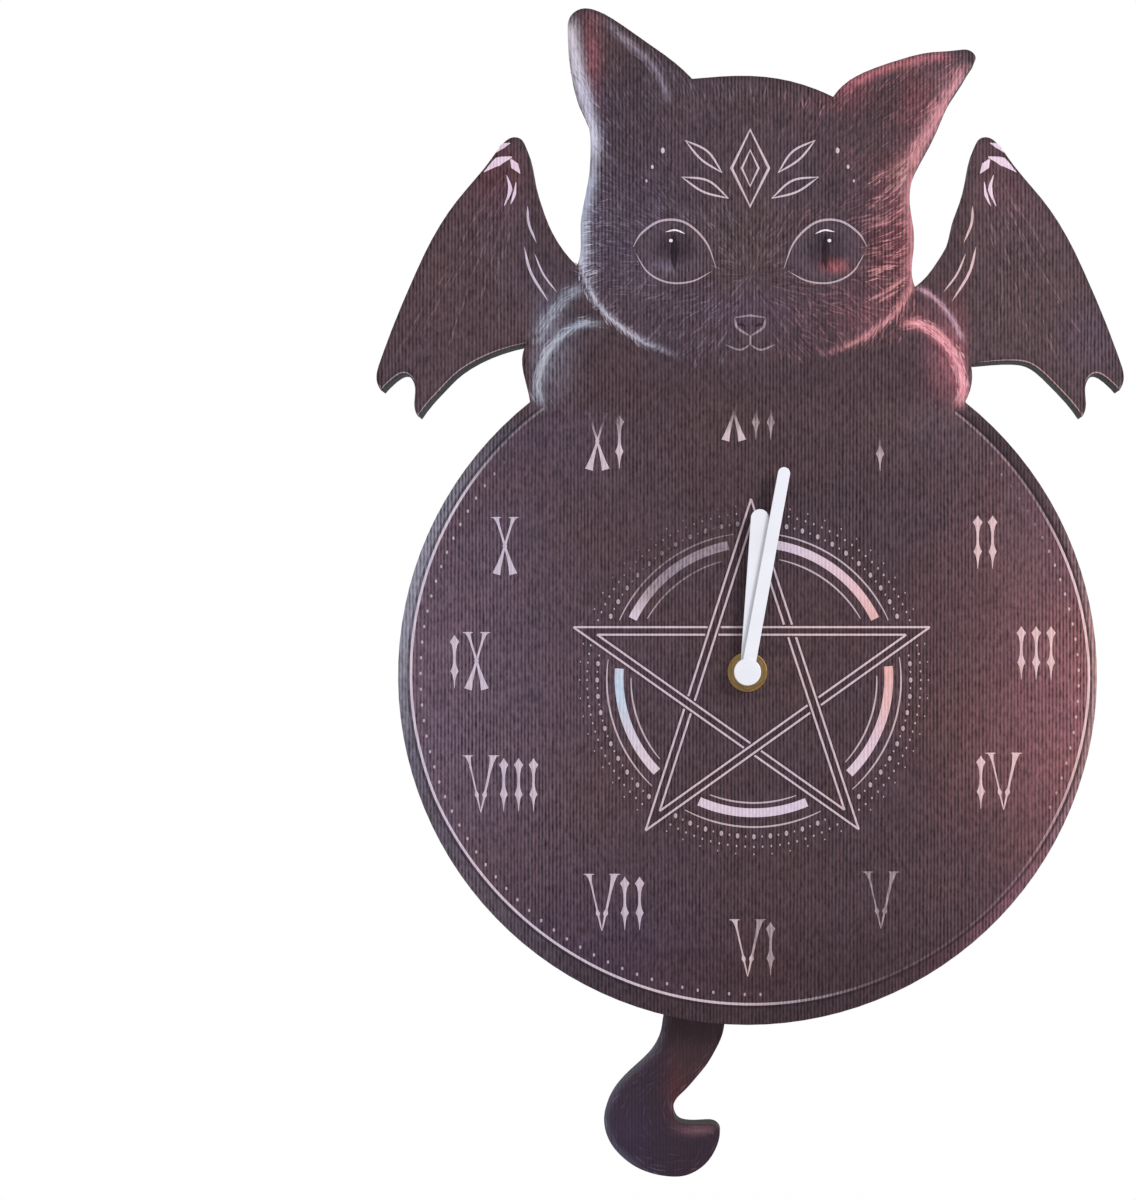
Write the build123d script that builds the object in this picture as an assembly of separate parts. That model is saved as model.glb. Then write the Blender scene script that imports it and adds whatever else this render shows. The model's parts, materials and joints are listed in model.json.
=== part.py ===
from build123d import *
import math
import os

# A wall clock: a flat cut-out board with a round dial and a winged cat's outline, a quartz movement
# behind it, and a tail that swings under the dial as the pendulum.
# Frame: X to the reader's right, Z up, the dial faces -Y and the wall is on the +Y side.
# The origin is the centre of the hanger's hole, in the middle of its sheet.

# Board and outline, in millimetres
dial_radius = 120.0
dial_drop = 1.2                  # the dial's centre lies this far below the spindle
hanger_drop = 37.0               # from the hanger's hole down to the spindle
board_thick = 7.7
sheet_thick = 0.3                # printed sheet glued on a board
figure_offset = 0.9              # the cat's middle line, to the right of the spindle
paw_foot_angle = 38.5            # where the paws leave the dial's edge, from straight up
paw_height = 46.35
shoulder_width = 17.4            # from the head's lower corner out to the shoulder
head_half_width = 57.0
head_height = 96.5
head_lift = 38.5                 # the head's base line above the paws' feet
wing_width = 51.5
wing_height = 96.0
wing_drop = 5.15                 # the wing's inner tip hangs below the paws' feet

# Tail
tail_width = 40.5
tail_length = 87.6               # from the tail's hidden top down to its lowest point
tail_thick = 6.7
tail_gap = 3.8                   # air between the board and the tail's front
tail_lean = 12.4                 # how far left of hanging straight the tail is at rest
swing_half = 14.4                # how far the tail swings to each side of hanging straight

# Movement case
case_top = 28.0                  # above the spindle
case_bottom = 76.0               # below the spindle
case_depth = 17.0                # from the wall to the case's front face
case_wall = 1.6
case_corner = 3.0
cover_thick = 1.5
rib_thick = 1.2                  # walls of the battery bay
plate_thick = 1.2                # train plate
plate_setback = 3.8              # from the case's front wall to the train plate
plate_margin = 0.3               # air between the train plate and the walls round it

# Spindle parts
bush_radius = 4.0
bush_flange_radius = 6.0
bush_flange_thick = 0.8
thread_out = 0.6                 # thread that shows in front of the nut
gasket_radius = 9.0
gasket_thick = 1.0
washer_radius = 6.9
washer_thick = 0.6
nut_across_flats = 11.0
nut_thick = 2.4
nut_edge = 0.4                   # bevel of the nut's front corners
pipe_radius = 2.5                # hour wheel's pipe
arbor_radius = 1.6               # minute arbor inside the pipe
journal_radius = 1.2             # minute arbor behind its pinion
rear_pivot_radius = 0.6          # minute arbor's thin rear end

# Hanger
hanger_gauge = 1.2
hanger_width = 30.0
hanger_below = 14.0              # plate below the spindle
hanger_clear = 1.0               # air between the case's top and the hanger's shelf
eye_radius = 10.0
eye_hole_radius = 3.0

# Hands
hour_length = 55.7
hour_root_width = 5.2
hour_tip_width = 6.2
hour_angle = 4.6                 # clockwise from straight up
minute_length = 70.8
minute_root_width = 4.6
minute_tip_width = 4.2
minute_angle = 10.4
hand_thick = 1.0
hand_gap = 0.7                   # air between bushing, hour hand and minute hand
hour_hub_radius = 4.2
minute_hub_radius = 4.65
hub_dome = 0.8

# Motion work
motion_module = 0.5
cannon_teeth = 12
motion_teeth = 36
motion_pinion_teeth = 10
hour_teeth = 40
motion_direction = -20.0         # of the motion wheel from the spindle, degrees above +X
motion_arbor_radius = 0.9
wheel_setback = 0.4              # from the case's front wall to the hour wheel
motion_thick = 1.0
motion_gap = 0.6                 # between the hour wheel's layer and the motion wheel's
knob_radius = 5.5
knob_thick = 2.5
knob_recess = 0.3
knob_gap = 0.5
knob_grooves = 24
knob_groove_radius = 0.35

# Going train, from the motor to the centre wheel
train_module = 0.25
rotor_teeth = 8
fifth_teeth = 40
fifth_pinion_teeth = 8
fourth_teeth = 48
fourth_pinion_teeth = 8
third_teeth = 64
third_pinion_teeth = 10
centre_teeth = 75
third_direction = 150.0
fourth_direction = 80.0
fifth_direction = 20.0
rotor_direction = -5.0
train_thick = 0.8
train_gap = 0.5
train_arbor_radius = 0.5
pivot_depth = 0.8                # how far an arbor's end reaches into its hole
addendum_share = 0.78            # tooth heights, as shares of the module
dedendum_share = 1.15
wheel_root_share = 0.62          # tooth widths, as shares of the tooth's pitch
wheel_tip_share = 0.26
leaf_root_share = 0.38
leaf_tip_share = 0.26
leaf_limit = 12                  # up to this many teeth a wheel is a pinion, with straight leaves

# Motor and electronics
magnet_radius = 2.4
magnet_thick = 2.2
stator_thick = 0.8
stator_ring = 1.4                # width of the stator's metal round the rotor
stator_gap = 0.5
motor_coil_radius = 2.6
motor_coil_length = 12.0
motor_coil_reach = 13.6          # from the rotor to the coil's axis
bobbin_wall = 0.6
core_half = 0.8
board_length = 30.0
board_height = 7.4
circuit_thick = 1.0
crystal_radius = 1.0
crystal_length = 6.0
chip_radius = 2.4
chip_thick = 1.2

# Battery
battery_radius = 7.1
battery_length = 49.0
battery_drop = 23.0              # battery's axis below the spindle
battery_air = 0.3
nub_radius = 2.75
nub_length = 1.5
contact_thick = 0.4
contact_width = 9.0
contact_pad = 1.5                # how far the negative contact's pad stands off its strip
window_lip = 0.9

# Pendulum drive
pivot_drop = 35.2                # pendulum's pivot below the spindle
pin_radius = 1.0
eye_wall = 2.0
arm_width = 5.0
arm_thick = 2.0
drive_reach = 25.0               # magnet and coil below the pivot
drive_magnet_radius = 4.0
drive_magnet_thick = 2.5
drive_coil_radius = 6.5
drive_coil_core = 2.0
drive_air = 1.0
slot_air = 0.5
strap_width = 10.0
strap_thick = 1.0
strap_gap = 4.0                  # from the case's bottom to the strap's top
arm_lap = 10.0                   # how far the arm lies on the strap
arm_end_gap = 2.9                # from the arm's end to the upper screw's head
top_above_screw = 7.0            # the tail's top above the upper screw
peg_radius = 1.5
screw_radius = 1.25
screw_head_radius = 2.6
screw_head_thick = 1.4
screw_bite = 5.0
screw_slot = 0.7
screw_inset = 6.0                # from the strap's lower end to the lower screw
screw_spacing = 11.0

# Shared clearances
running_clearance = 0.06         # radial, on turning shafts
fit_clearance = 0.15             # round what stands still
overrun = 1.0                    # how far a cutting solid passes the face that it cuts
half_turn = 180.0                # degrees

# Outline shares of the cat, going clockwise round the board. Paws: across by the shoulder's
# distance from the middle line, up by the paw's height, from the dial's edge.
paw_left_shares = [(1.003, 0.141), (1.020, 0.296), (1.0, 0.430)]
paw_right_shares = [(0.987, 0.281), (0.991, 0.141)]
# Wings: out from the shoulder by the wing's width, up from its inner tip by the wing's height.
wing_root_low_left_shares = [(0.233, 0.225)]
wing_root_low_right_shares = [(0.253, 0.199), (0.107, 0.195)]
wing_low_shares = [(0.367, 0.190), (0.473, 0.150), (0.553, 0.107), (0.640, 0.057)]
inner_tip_share = (0.720, 0.0)
wing_notch_shares = [(0.747, 0.061), (0.748, 0.118), (0.807, 0.154), (0.887, 0.136)]
outer_tip_share = (0.967, 0.093)
wing_out_shares = [(1.0, 0.136), (0.973, 0.204), (0.873, 0.347), (0.760, 0.490), (0.633, 0.633),
                   (0.460, 0.776), (0.240, 0.919), (0.153, 0.980), (0.093, 1.0), (0.040, 0.995),
                   (0.007, 0.970)]
wing_in_shares = [(-0.027, 0.912), (-0.053, 0.837), (-0.087, 0.773), (-0.133, 0.705)]
wing_root_high_left_shares = [(-0.200, 0.633)]
wing_root_high_right_shares = [(-0.167, 0.630), (-0.240, 0.558), (-0.313, 0.504)]
# Head: across by half the head's width, up from its base line by the head's height.
corner_left_share = (-1.042, 0.085)
head_left_shares = [(-1.021, 0.142), (-1.021, 0.231), (-0.997, 0.320), (-0.970, 0.409),
                    (-0.961, 0.498), (-0.976, 0.587), (-1.042, 0.676), (-1.072, 0.747),
                    (-1.093, 0.836), (-1.099, 0.915), (-1.084, 0.972), (-1.018, 1.0),
                    (-0.922, 0.993), (-0.813, 0.959), (-0.645, 0.890), (-0.476, 0.819)]
ear_left_foot_share = (-0.349, 0.751)
crown_shares = [(-0.211, 0.758), (-0.060, 0.762), (0.090, 0.758), (0.211, 0.747), (0.361, 0.722)]
ear_right_foot_share = (0.500, 0.687)
head_right_shares = [(0.602, 0.747), (0.735, 0.786), (0.898, 0.819), (1.084, 0.845),
                     (1.235, 0.852), (1.331, 0.849), (1.358, 0.829), (1.331, 0.794),
                     (1.283, 0.747), (1.205, 0.676), (1.151, 0.605), (1.096, 0.534),
                     (1.030, 0.463), (0.976, 0.391), (0.961, 0.313), (0.985, 0.214),
                     (0.985, 0.142), (0.973, 0.078)]
corner_right_share = (0.994, 0.011)

# Tail: across from the pivot by the tail's width, down from its top by its length.
tail_left_shares = [(-0.530, 0.080), (-0.616, 0.159), (-0.685, 0.259), (-0.728, 0.363),
                    (-0.754, 0.431), (-0.823, 0.498), (-0.961, 0.564), (-1.065, 0.609),
                    (-1.159, 0.662), (-1.215, 0.714), (-1.237, 0.773), (-1.220, 0.825),
                    (-1.168, 0.876), (-1.090, 0.918), (-0.978, 0.958), (-0.832, 0.987),
                    (-0.685, 1.000), (-0.539, 0.997), (-0.427, 0.974), (-0.340, 0.939),
                    (-0.276, 0.892), (-0.241, 0.841), (-0.244, 0.814), (-0.289, 0.793)]
tail_inner_shares = [(-0.370, 0.789), (-0.457, 0.791), (-0.539, 0.789), (-0.603, 0.778),
                     (-0.638, 0.751), (-0.642, 0.723), (-0.616, 0.693), (-0.539, 0.656),
                     (-0.447, 0.608), (-0.353, 0.555), (-0.272, 0.492), (-0.220, 0.439),
                     (-0.194, 0.371), (-0.177, 0.280), (-0.125, 0.159), (-0.091, 0.080)]
tail_top_shares = [(-0.177, 0.021), (-0.323, 0.000), (-0.461, 0.024)]

# Places that follow from the sizes
spindle_z = -hanger_drop
wall_y = hanger_gauge / 2
case_front = wall_y - case_depth
inner_front = case_front + case_wall
cover_inner = wall_y - cover_thick
plate_back = inner_front + plate_setback + plate_thick
hanger_back = case_front
gasket_back = hanger_back - hanger_gauge
board_back = gasket_back - gasket_thick
sheet_back = board_back - board_thick
face_y = sheet_back - sheet_thick
washer_front = face_y - washer_thick
nut_front = washer_front - nut_thick
bush_front = nut_front - thread_out
hour_back = bush_front - hand_gap
hour_front = hour_back - hand_thick
minute_back = hour_front - hand_gap
minute_front = minute_back - hand_thick
tail_front = board_back + tail_gap
tail_back = tail_front + sheet_thick + tail_thick
strap_back = tail_back + strap_thick
arm_back = strap_back + arm_thick
pivot_z = spindle_z - pivot_drop
case_reach = case_bottom - pivot_drop
strap_top = case_reach + strap_gap
arm_reach = strap_top + arm_lap
upper_screw = arm_reach + arm_end_gap + screw_head_radius
lower_screw = upper_screw + screw_spacing
strap_end = lower_screw + screw_inset
tail_top = upper_screw - top_above_screw
foot_rise = dial_radius * math.cos(math.radians(paw_foot_angle)) - dial_drop
foot_across = dial_radius * math.sin(math.radians(paw_foot_angle))
shoulder = -corner_left_share[0] * head_half_width + shoulder_width
battery_z = spindle_z - battery_drop
battery_y = inner_front + battery_radius + battery_air / 2
bay_half = battery_radius + battery_air
inner_half = (battery_length + nub_length + contact_pad) / 2 + contact_thick
case_half = inner_half + case_wall
battery_x = contact_thick + contact_pad + battery_length / 2 - inner_half


def slab(profile, back, thickness):
    """A flat profile, drawn in X and Z, made thick from its back face towards the reader."""
    return extrude(Plane.XZ.offset(-back) * profile, thickness)


def disc(x, z, radius, back, thickness):
    """A round plate or rod whose axis runs front to back."""
    return slab(Pos(x, z) * Circle(radius), back, thickness)


def rod(x, z, radius, front, back):
    """A round rod between two depths."""
    return disc(x, z, radius, back, back - front)


def block(x_low, x_high, z_low, z_high, back, thickness):
    """A rectangular block between two sides, two heights and a back face."""
    profile = Pos((x_low + x_high) / 2, (z_low + z_high) / 2) * Rectangle(x_high - x_low, z_high - z_low)
    return slab(profile, back, thickness)


def polar(x, z, radius, degrees):
    """The point at a radius and an angle from another point."""
    angle = math.radians(degrees)
    return (x + radius * math.cos(angle), z + radius * math.sin(angle))


def hang(shape):
    """Turn something drawn hanging straight from the pivot to where the tail is at rest."""
    return Pos(0, 0, pivot_z) * Rot(0, tail_lean, 0) * Pos(0, 0, -pivot_z) * shape


# Board
def board_outline():
    """The whole cut-out: dial, paws, wings and head, in one closed line."""
    dial_z = spindle_z - dial_drop
    foot_z = spindle_z + foot_rise
    wing_z = foot_z - wing_drop
    head_z = foot_z + head_lift

    def paw(side, share):
        return (figure_offset + side * share[0] * shoulder, foot_z + share[1] * paw_height)

    def wing(side, share):
        return (figure_offset + side * (shoulder + share[0] * wing_width), wing_z + share[1] * wing_height)

    def head(share):
        return (figure_offset + share[0] * head_half_width, head_z + share[1] * head_height)

    foot_left = (-foot_across, foot_z)
    foot_right = (foot_across, foot_z)
    left_paw = [paw(-1, s) for s in paw_left_shares]
    right_paw = [paw(1, s) for s in paw_right_shares]
    left = [wing(-1, s) for s in wing_low_shares]
    right = [wing(1, s) for s in reversed(wing_low_shares)]
    lines = [
        Spline(foot_left, *left_paw),
        Spline(left_paw[-1], *[wing(-1, s) for s in wing_root_low_left_shares], *left,
               wing(-1, inner_tip_share)),
        Spline(wing(-1, inner_tip_share), *[wing(-1, s) for s in wing_notch_shares],
               wing(-1, outer_tip_share)),
        Spline(wing(-1, outer_tip_share),
               *[wing(-1, s) for s in wing_out_shares + wing_in_shares + wing_root_high_left_shares],
               head(corner_left_share)),
        Spline(head(corner_left_share), *[head(s) for s in head_left_shares],
               head(ear_left_foot_share)),
        Spline(head(ear_left_foot_share), *[head(s) for s in crown_shares],
               head(ear_right_foot_share)),
        Spline(head(ear_right_foot_share), *[head(s) for s in head_right_shares],
               head(corner_right_share)),
        Spline(head(corner_right_share), *[wing(1, s) for s in reversed(wing_root_high_right_shares)],
               *[wing(1, s) for s in reversed(wing_out_shares + wing_in_shares)],
               wing(1, outer_tip_share)),
        Spline(wing(1, outer_tip_share), *[wing(1, s) for s in reversed(wing_notch_shares)],
               wing(1, inner_tip_share)),
        Spline(wing(1, inner_tip_share), *right, *[wing(1, s) for s in wing_root_low_right_shares],
               right_paw[0]),
        Spline(*right_paw, foot_right),
        ThreePointArc(foot_right, (0, dial_z - dial_radius), foot_left),
    ]
    return make_face(Wire(lines))


def board_plate(back, thickness):
    """The outline made thick, with the spindle's hole through it."""
    hole = disc(0, spindle_z, bush_radius + fit_clearance, back + overrun, thickness + 2 * overrun)
    return slab(board_outline(), back, thickness) - hole


# Tail
def tail_point(share):
    """A point of the tail, from its shares."""
    return (share[0] * tail_width, pivot_z - tail_top - share[1] * tail_length)


def tail_outline():
    """The tail's cut-out, from its hidden top round the curl and back."""
    left = [tail_point(s) for s in tail_left_shares]
    inner = [tail_point(s) for s in tail_inner_shares]
    top = [tail_point(s) for s in tail_top_shares]
    lines = [
        Spline(*left, *inner),
        Spline(inner[-1], *top, left[0]),
    ]
    return make_face(Wire(lines))


def tail_board():
    """The tail's board, with the two screw holes in its back."""
    board = slab(tail_outline(), tail_back, tail_thick)
    for reach in (upper_screw, lower_screw):
        board -= hang(disc(0, pivot_z - reach, screw_radius, tail_back, screw_bite))
    return board


def tail_strap():
    """The steel strip that joins the swinging arm to the tail."""
    strap = block(-strap_width / 2, strap_width / 2, pivot_z - strap_end, pivot_z - strap_top,
                  strap_back, strap_thick)
    peg_z = pivot_z - (strap_top + arm_reach) / 2
    strap -= disc(0, peg_z, peg_radius, strap_back, strap_thick)
    for reach in (upper_screw, lower_screw):
        strap -= disc(0, pivot_z - reach, screw_radius, strap_back, strap_thick)
    return hang(strap)


def tail_screws():
    """Two slotted screws through the strap."""
    screws = []
    for reach in (upper_screw, lower_screw):
        z = pivot_z - reach
        shank = disc(0, z, screw_radius, strap_back, strap_thick + screw_bite)
        head = disc(0, z, screw_head_radius, strap_back + screw_head_thick, screw_head_thick)
        slot = block(-screw_head_radius, screw_head_radius, z - screw_slot / 2, z + screw_slot / 2,
                     strap_back + screw_head_thick, screw_head_thick / 2)
        screws.append(hang(shank + head - slot))
    return Compound(children=screws)


def pendulum_arm():
    """The arm that swings on the pivot pin and carries the tail on its peg."""
    eye_radius_out = pin_radius + running_clearance + eye_wall
    arm = block(-arm_width / 2, arm_width / 2, pivot_z - arm_reach, pivot_z, arm_back, arm_thick)
    arm += disc(0, pivot_z, eye_radius_out, arm_back, arm_thick)
    arm += disc(0, pivot_z - drive_reach, drive_magnet_radius, arm_back, arm_thick)
    arm -= disc(0, pivot_z, pin_radius + running_clearance, arm_back, arm_thick)
    peg_z = pivot_z - (strap_top + arm_reach) / 2
    arm += disc(0, peg_z, peg_radius, strap_back, strap_thick)
    return hang(arm)


def pendulum_magnet():
    """The round magnet on the arm that the drive coil pushes."""
    return hang(disc(0, pivot_z - drive_reach, drive_magnet_radius, arm_back - arm_thick,
                     drive_magnet_thick))


def pendulum_pin():
    """The steel pin that the arm swings on, from the case's front wall into the cover."""
    return rod(0, pivot_z, pin_radius, inner_front, cover_inner + pivot_depth)


def drive_coil_parts():
    """The pendulum coil's bobbin and the wire wound on it."""
    front = inner_front
    back = arm_back - arm_thick - drive_magnet_thick - drive_air
    z = pivot_z - drive_reach
    bobbin = rod(0, z, drive_coil_core, front, back)
    bobbin += rod(0, z, drive_coil_radius, front, front + bobbin_wall)
    bobbin += rod(0, z, drive_coil_radius, back - bobbin_wall, back)
    winding = rod(0, z, drive_coil_radius - bobbin_wall / 2, front + bobbin_wall, back - bobbin_wall)
    winding -= rod(0, z, drive_coil_core, front, back)
    return bobbin, winding


# Gears
def gear_profile(teeth, module, turn):
    """A spur gear's outline: four corners a tooth, with one tooth pointing at the angle turn."""
    pitch_radius = teeth * module / 2
    tip = pitch_radius + addendum_share * module
    root = pitch_radius - dedendum_share * module
    root_share, tip_share = wheel_root_share, wheel_tip_share
    if teeth <= leaf_limit:
        root_share, tip_share = leaf_root_share, leaf_tip_share
    points = []
    for tooth in range(teeth):
        middle = turn + 2 * half_turn * tooth / teeth
        for radius, share in ((root, -root_share), (tip, -tip_share), (tip, tip_share), (root, root_share)):
            points.append(polar(0, 0, radius, middle + share * half_turn / teeth))
    return make_face(Polyline(*points, close=True))


def gear(place, teeth, module, turn, back, thickness):
    """A toothed wheel at a place, between two depths."""
    return slab(Pos(place[0], place[1]) * gear_profile(teeth, module, turn), back, thickness)


def next_axis(place, teeth_a, teeth_b, module, direction):
    """Where the axis of the gear that meshes with this one lies."""
    return polar(place[0], place[1], module * (teeth_a + teeth_b) / 2, direction)


def meshed_turn(turn_a, teeth_a, teeth_b, direction):
    """The turn that puts a gap of the second gear on a tooth of the first."""
    ahead = (turn_a - direction) * teeth_a / (2 * half_turn)
    return direction + half_turn + half_turn / teeth_b * (1 - 2 * ahead)


spindle = (0, spindle_z)
motion_place = next_axis(spindle, cannon_teeth, motion_teeth, motion_module, motion_direction)
hour_module = motion_module * (cannon_teeth + motion_teeth) / (motion_pinion_teeth + hour_teeth)
third_place = next_axis(spindle, centre_teeth, third_pinion_teeth, train_module, third_direction)
fourth_place = next_axis(third_place, third_teeth, fourth_pinion_teeth, train_module, fourth_direction)
fifth_place = next_axis(fourth_place, fourth_teeth, fifth_pinion_teeth, train_module, fifth_direction)
rotor_place = next_axis(fifth_place, fifth_teeth, rotor_teeth, train_module, rotor_direction)

motion_turn = meshed_turn(0, cannon_teeth, motion_teeth, motion_direction)
hour_turn = meshed_turn(0, motion_pinion_teeth, hour_teeth, motion_direction + half_turn)
third_pinion_turn = meshed_turn(0, centre_teeth, third_pinion_teeth, third_direction)
fourth_pinion_turn = meshed_turn(0, third_teeth, fourth_pinion_teeth, fourth_direction)
fifth_pinion_turn = meshed_turn(0, fourth_teeth, fifth_pinion_teeth, fifth_direction)
rotor_turn = meshed_turn(0, fifth_teeth, rotor_teeth, rotor_direction)

motion_back = inner_front + wheel_setback + motion_thick + motion_gap + motion_thick
arbor_front = plate_back - pivot_depth
arbor_back = cover_inner + pivot_depth


def layer_back(number):
    """The rear face of a layer of the going train, counted from the train plate."""
    return plate_back + (number + 1) * (train_thick + train_gap)


def train_wheel(place, teeth, pinion_teeth, pinion_turn, number):
    """A wheel on its arbor, with the pinion that drives the next wheel in the layer before it."""
    wheel_front = layer_back(number) - train_thick
    wheel = gear(place, teeth, train_module, 0, layer_back(number), train_thick)
    wheel += gear(place, pinion_teeth, train_module, pinion_turn, wheel_front, train_thick + train_gap)
    wheel += rod(place[0], place[1], train_arbor_radius, arbor_front, arbor_back)
    return wheel


def centre_wheel():
    """The wheel that turns once an hour and slips on the minute arbor's journal."""
    wheel = gear(spindle, centre_teeth, train_module, 0, layer_back(0), train_thick)
    return wheel - disc(0, spindle_z, journal_radius + running_clearance, layer_back(0), train_thick)


def rotor_pinion():
    """The motor's pinion on its arbor."""
    pinion = gear(rotor_place, rotor_teeth, train_module, rotor_turn, layer_back(3),
                  train_thick + train_gap)
    return pinion + rod(rotor_place[0], rotor_place[1], train_arbor_radius, arbor_front, arbor_back)


def rotor_magnet():
    """The motor's ring magnet, seated on the pinion's arbor."""
    back = layer_back(3) - train_thick - train_gap
    magnet = disc(*rotor_place, magnet_radius, back, magnet_thick)
    return magnet - disc(*rotor_place, train_arbor_radius, back, magnet_thick)


def minute_arbor():
    """The arbor that carries the minute hand, with the cannon pinion and the journal behind it."""
    arbor = rod(0, spindle_z, arbor_radius, minute_front, motion_back)
    arbor += gear(spindle, cannon_teeth, motion_module, 0, motion_back, motion_thick)
    arbor += rod(0, spindle_z, journal_radius, motion_back, layer_back(0) + train_gap / 2)
    return arbor + rod(0, spindle_z, rear_pivot_radius, motion_back, arbor_back)


def hour_wheel():
    """The hour wheel with its pipe, which turns on the minute arbor."""
    wheel_back = inner_front + wheel_setback + motion_thick
    wheel = gear(spindle, hour_teeth, hour_module, hour_turn, wheel_back, motion_thick)
    wheel += rod(0, spindle_z, pipe_radius, hour_front, wheel_back)
    bore = rod(0, spindle_z, arbor_radius + running_clearance, hour_front - overrun, wheel_back + overrun)
    return wheel - bore


def motion_wheel():
    """The motion wheel with its pinion, on the arbor that the setting knob turns."""
    wheel = gear(motion_place, motion_teeth, motion_module, motion_turn, motion_back, motion_thick)
    pinion_front = inner_front + wheel_setback
    pinion_length = motion_thick + motion_gap
    wheel += gear(motion_place, motion_pinion_teeth, hour_module, 0, pinion_front + pinion_length,
                  pinion_length)
    pivot_front = inner_front - pivot_depth
    return wheel + rod(*motion_place, motion_arbor_radius, pivot_front, wall_y - knob_recess - knob_thick)


def setting_knob():
    """The grooved knob in the back cover that sets the hands."""
    back = wall_y - knob_recess
    profile = Pos(*motion_place) * Circle(knob_radius)
    for groove in range(knob_grooves):
        place = polar(*motion_place, knob_radius, 2 * half_turn * groove / knob_grooves)
        profile -= Pos(*place) * Circle(knob_groove_radius)
    knob = slab(profile, back, knob_thick)
    mark = block(motion_place[0] - knob_radius / 2, motion_place[0] + knob_radius / 2,
                 motion_place[1] - knob_groove_radius, motion_place[1] + knob_groove_radius,
                 back, knob_groove_radius)
    return knob - mark


# Movement case
def case_profile(inset):
    """The case's rounded rectangle, drawn in by an inset."""
    width = 2 * (case_half - inset)
    height = case_top + case_bottom - 2 * inset
    middle = spindle_z + (case_top - case_bottom) / 2
    return Pos(0, middle) * RectangleRounded(width, height, case_corner - inset)


def slot_half_width():
    """Half the width of the slot that the arm needs where it leaves the case."""
    angle = math.radians(swing_half)
    return case_reach * math.tan(angle) + arm_width / (2 * math.cos(angle)) + slot_air


def bay_ribs():
    """The two walls that hold the battery, with a gap above for the contacts' wires."""
    ribs = []
    for side in (-1, 1):
        edge = battery_z + side * bay_half
        ribs.append(block(-inner_half, inner_half, min(edge, edge + side * rib_thick),
                          max(edge, edge + side * rib_thick), cover_inner, cover_inner - inner_front))
    return ribs


def movement_case():
    """The front shell of the movement, open at the back."""
    depth = cover_inner - case_front
    case = slab(case_profile(0), cover_inner, depth)
    case -= slab(case_profile(case_wall), cover_inner, depth - case_wall)
    for rib in bay_ribs():
        case += rib
    case -= disc(*spindle, bush_radius, inner_front, case_wall)
    case -= disc(*spindle, bush_flange_radius, inner_front, bush_flange_thick)
    case -= disc(*motion_place, motion_arbor_radius + running_clearance, inner_front,
                 (case_wall + pivot_depth) / 2)
    floor_z = spindle_z - case_bottom
    case -= block(-slot_half_width(), slot_half_width(), floor_z - overrun, floor_z + case_wall + overrun,
                  arm_back + slot_air, arm_thick + 2 * slot_air)
    return case


def back_cover():
    """The flat cover, with the battery's window, the knob's hole and the arbors' rear holes."""
    cover = slab(case_profile(0), wall_y, cover_thick)
    half = inner_half - window_lip
    cover -= block(-half, half, battery_z - bay_half, battery_z + bay_half, wall_y + overrun,
                   cover_thick + 2 * overrun)
    cover -= disc(*motion_place, knob_radius + knob_gap, wall_y + overrun, cover_thick + 2 * overrun)
    hole_back = cover_inner + (cover_thick + pivot_depth) / 2
    for place in (third_place, fourth_place, fifth_place, rotor_place):
        cover -= rod(*place, train_arbor_radius + running_clearance, cover_inner, hole_back)
    cover -= rod(*spindle, rear_pivot_radius + running_clearance, cover_inner, hole_back)
    return cover - rod(0, pivot_z, pin_radius, cover_inner, cover_inner + pivot_depth)


def train_plate():
    """The plate between the motion work and the going train, with the arbors' front holes."""
    low = battery_z + bay_half + rib_thick + plate_margin
    high = spindle_z + case_top - case_wall - plate_margin
    half = inner_half - plate_margin
    plate = slab(Pos(0, (low + high) / 2) * RectangleRounded(2 * half, high - low, case_corner - case_wall),
                 plate_back, plate_thick)
    for place in (third_place, fourth_place, fifth_place, rotor_place):
        plate -= disc(*place, train_arbor_radius + running_clearance, plate_back, plate_thick)
    plate -= disc(*spindle, journal_radius + running_clearance, plate_back, plate_thick)
    plate -= disc(*motion_place, motion_arbor_radius + running_clearance, plate_back, plate_thick)
    for x in (-half, half):
        post_x = x - math.copysign(plate_thick, x)
        plate += rod(post_x, high - plate_thick, plate_thick, inner_front, plate_back)
        plate += rod(post_x, low + plate_thick, plate_thick, inner_front, plate_back)
    return plate


# Spindle parts
def threaded_bushing():
    """The brass tube that clamps the movement to the board, with its flange inside the case."""
    bush = rod(*spindle, bush_radius, bush_front, inner_front)
    bush += disc(*spindle, bush_flange_radius, inner_front, bush_flange_thick)
    bore = rod(*spindle, pipe_radius + running_clearance, bush_front - overrun, inner_front + overrun)
    return bush - bore


def ring(outer, inner, back, thickness):
    """A flat ring round the spindle."""
    return disc(*spindle, outer, back, thickness) - disc(*spindle, inner, back, thickness)


def brass_washer():
    """The round washer between the board's face and the nut."""
    washer = ring(washer_radius, bush_radius + fit_clearance, face_y, washer_thick)
    edge = washer.edges().filter_by(GeomType.CIRCLE).sort_by(Axis.Y)[:2].sort_by(SortBy.RADIUS)[-1]
    return fillet(edge, washer_thick / 2)


def hex_nut():
    """The brass nut, with its corners turned down in front."""
    profile = Pos(*spindle) * RegularPolygon(nut_across_flats / 2, 6, major_radius=False, rotation=30)
    nut = slab(profile, washer_front, nut_thick)
    corner_radius = nut_across_flats / math.sqrt(3)
    blank = chamfer(Cylinder(corner_radius, nut_thick).edges().sort_by(Axis.Z)[-1], nut_edge)
    nut &= Pos(0, washer_front - nut_thick / 2, spindle_z) * Rot(90, 0, 0) * blank
    return nut - disc(*spindle, bush_radius, washer_front, nut_thick)


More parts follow.
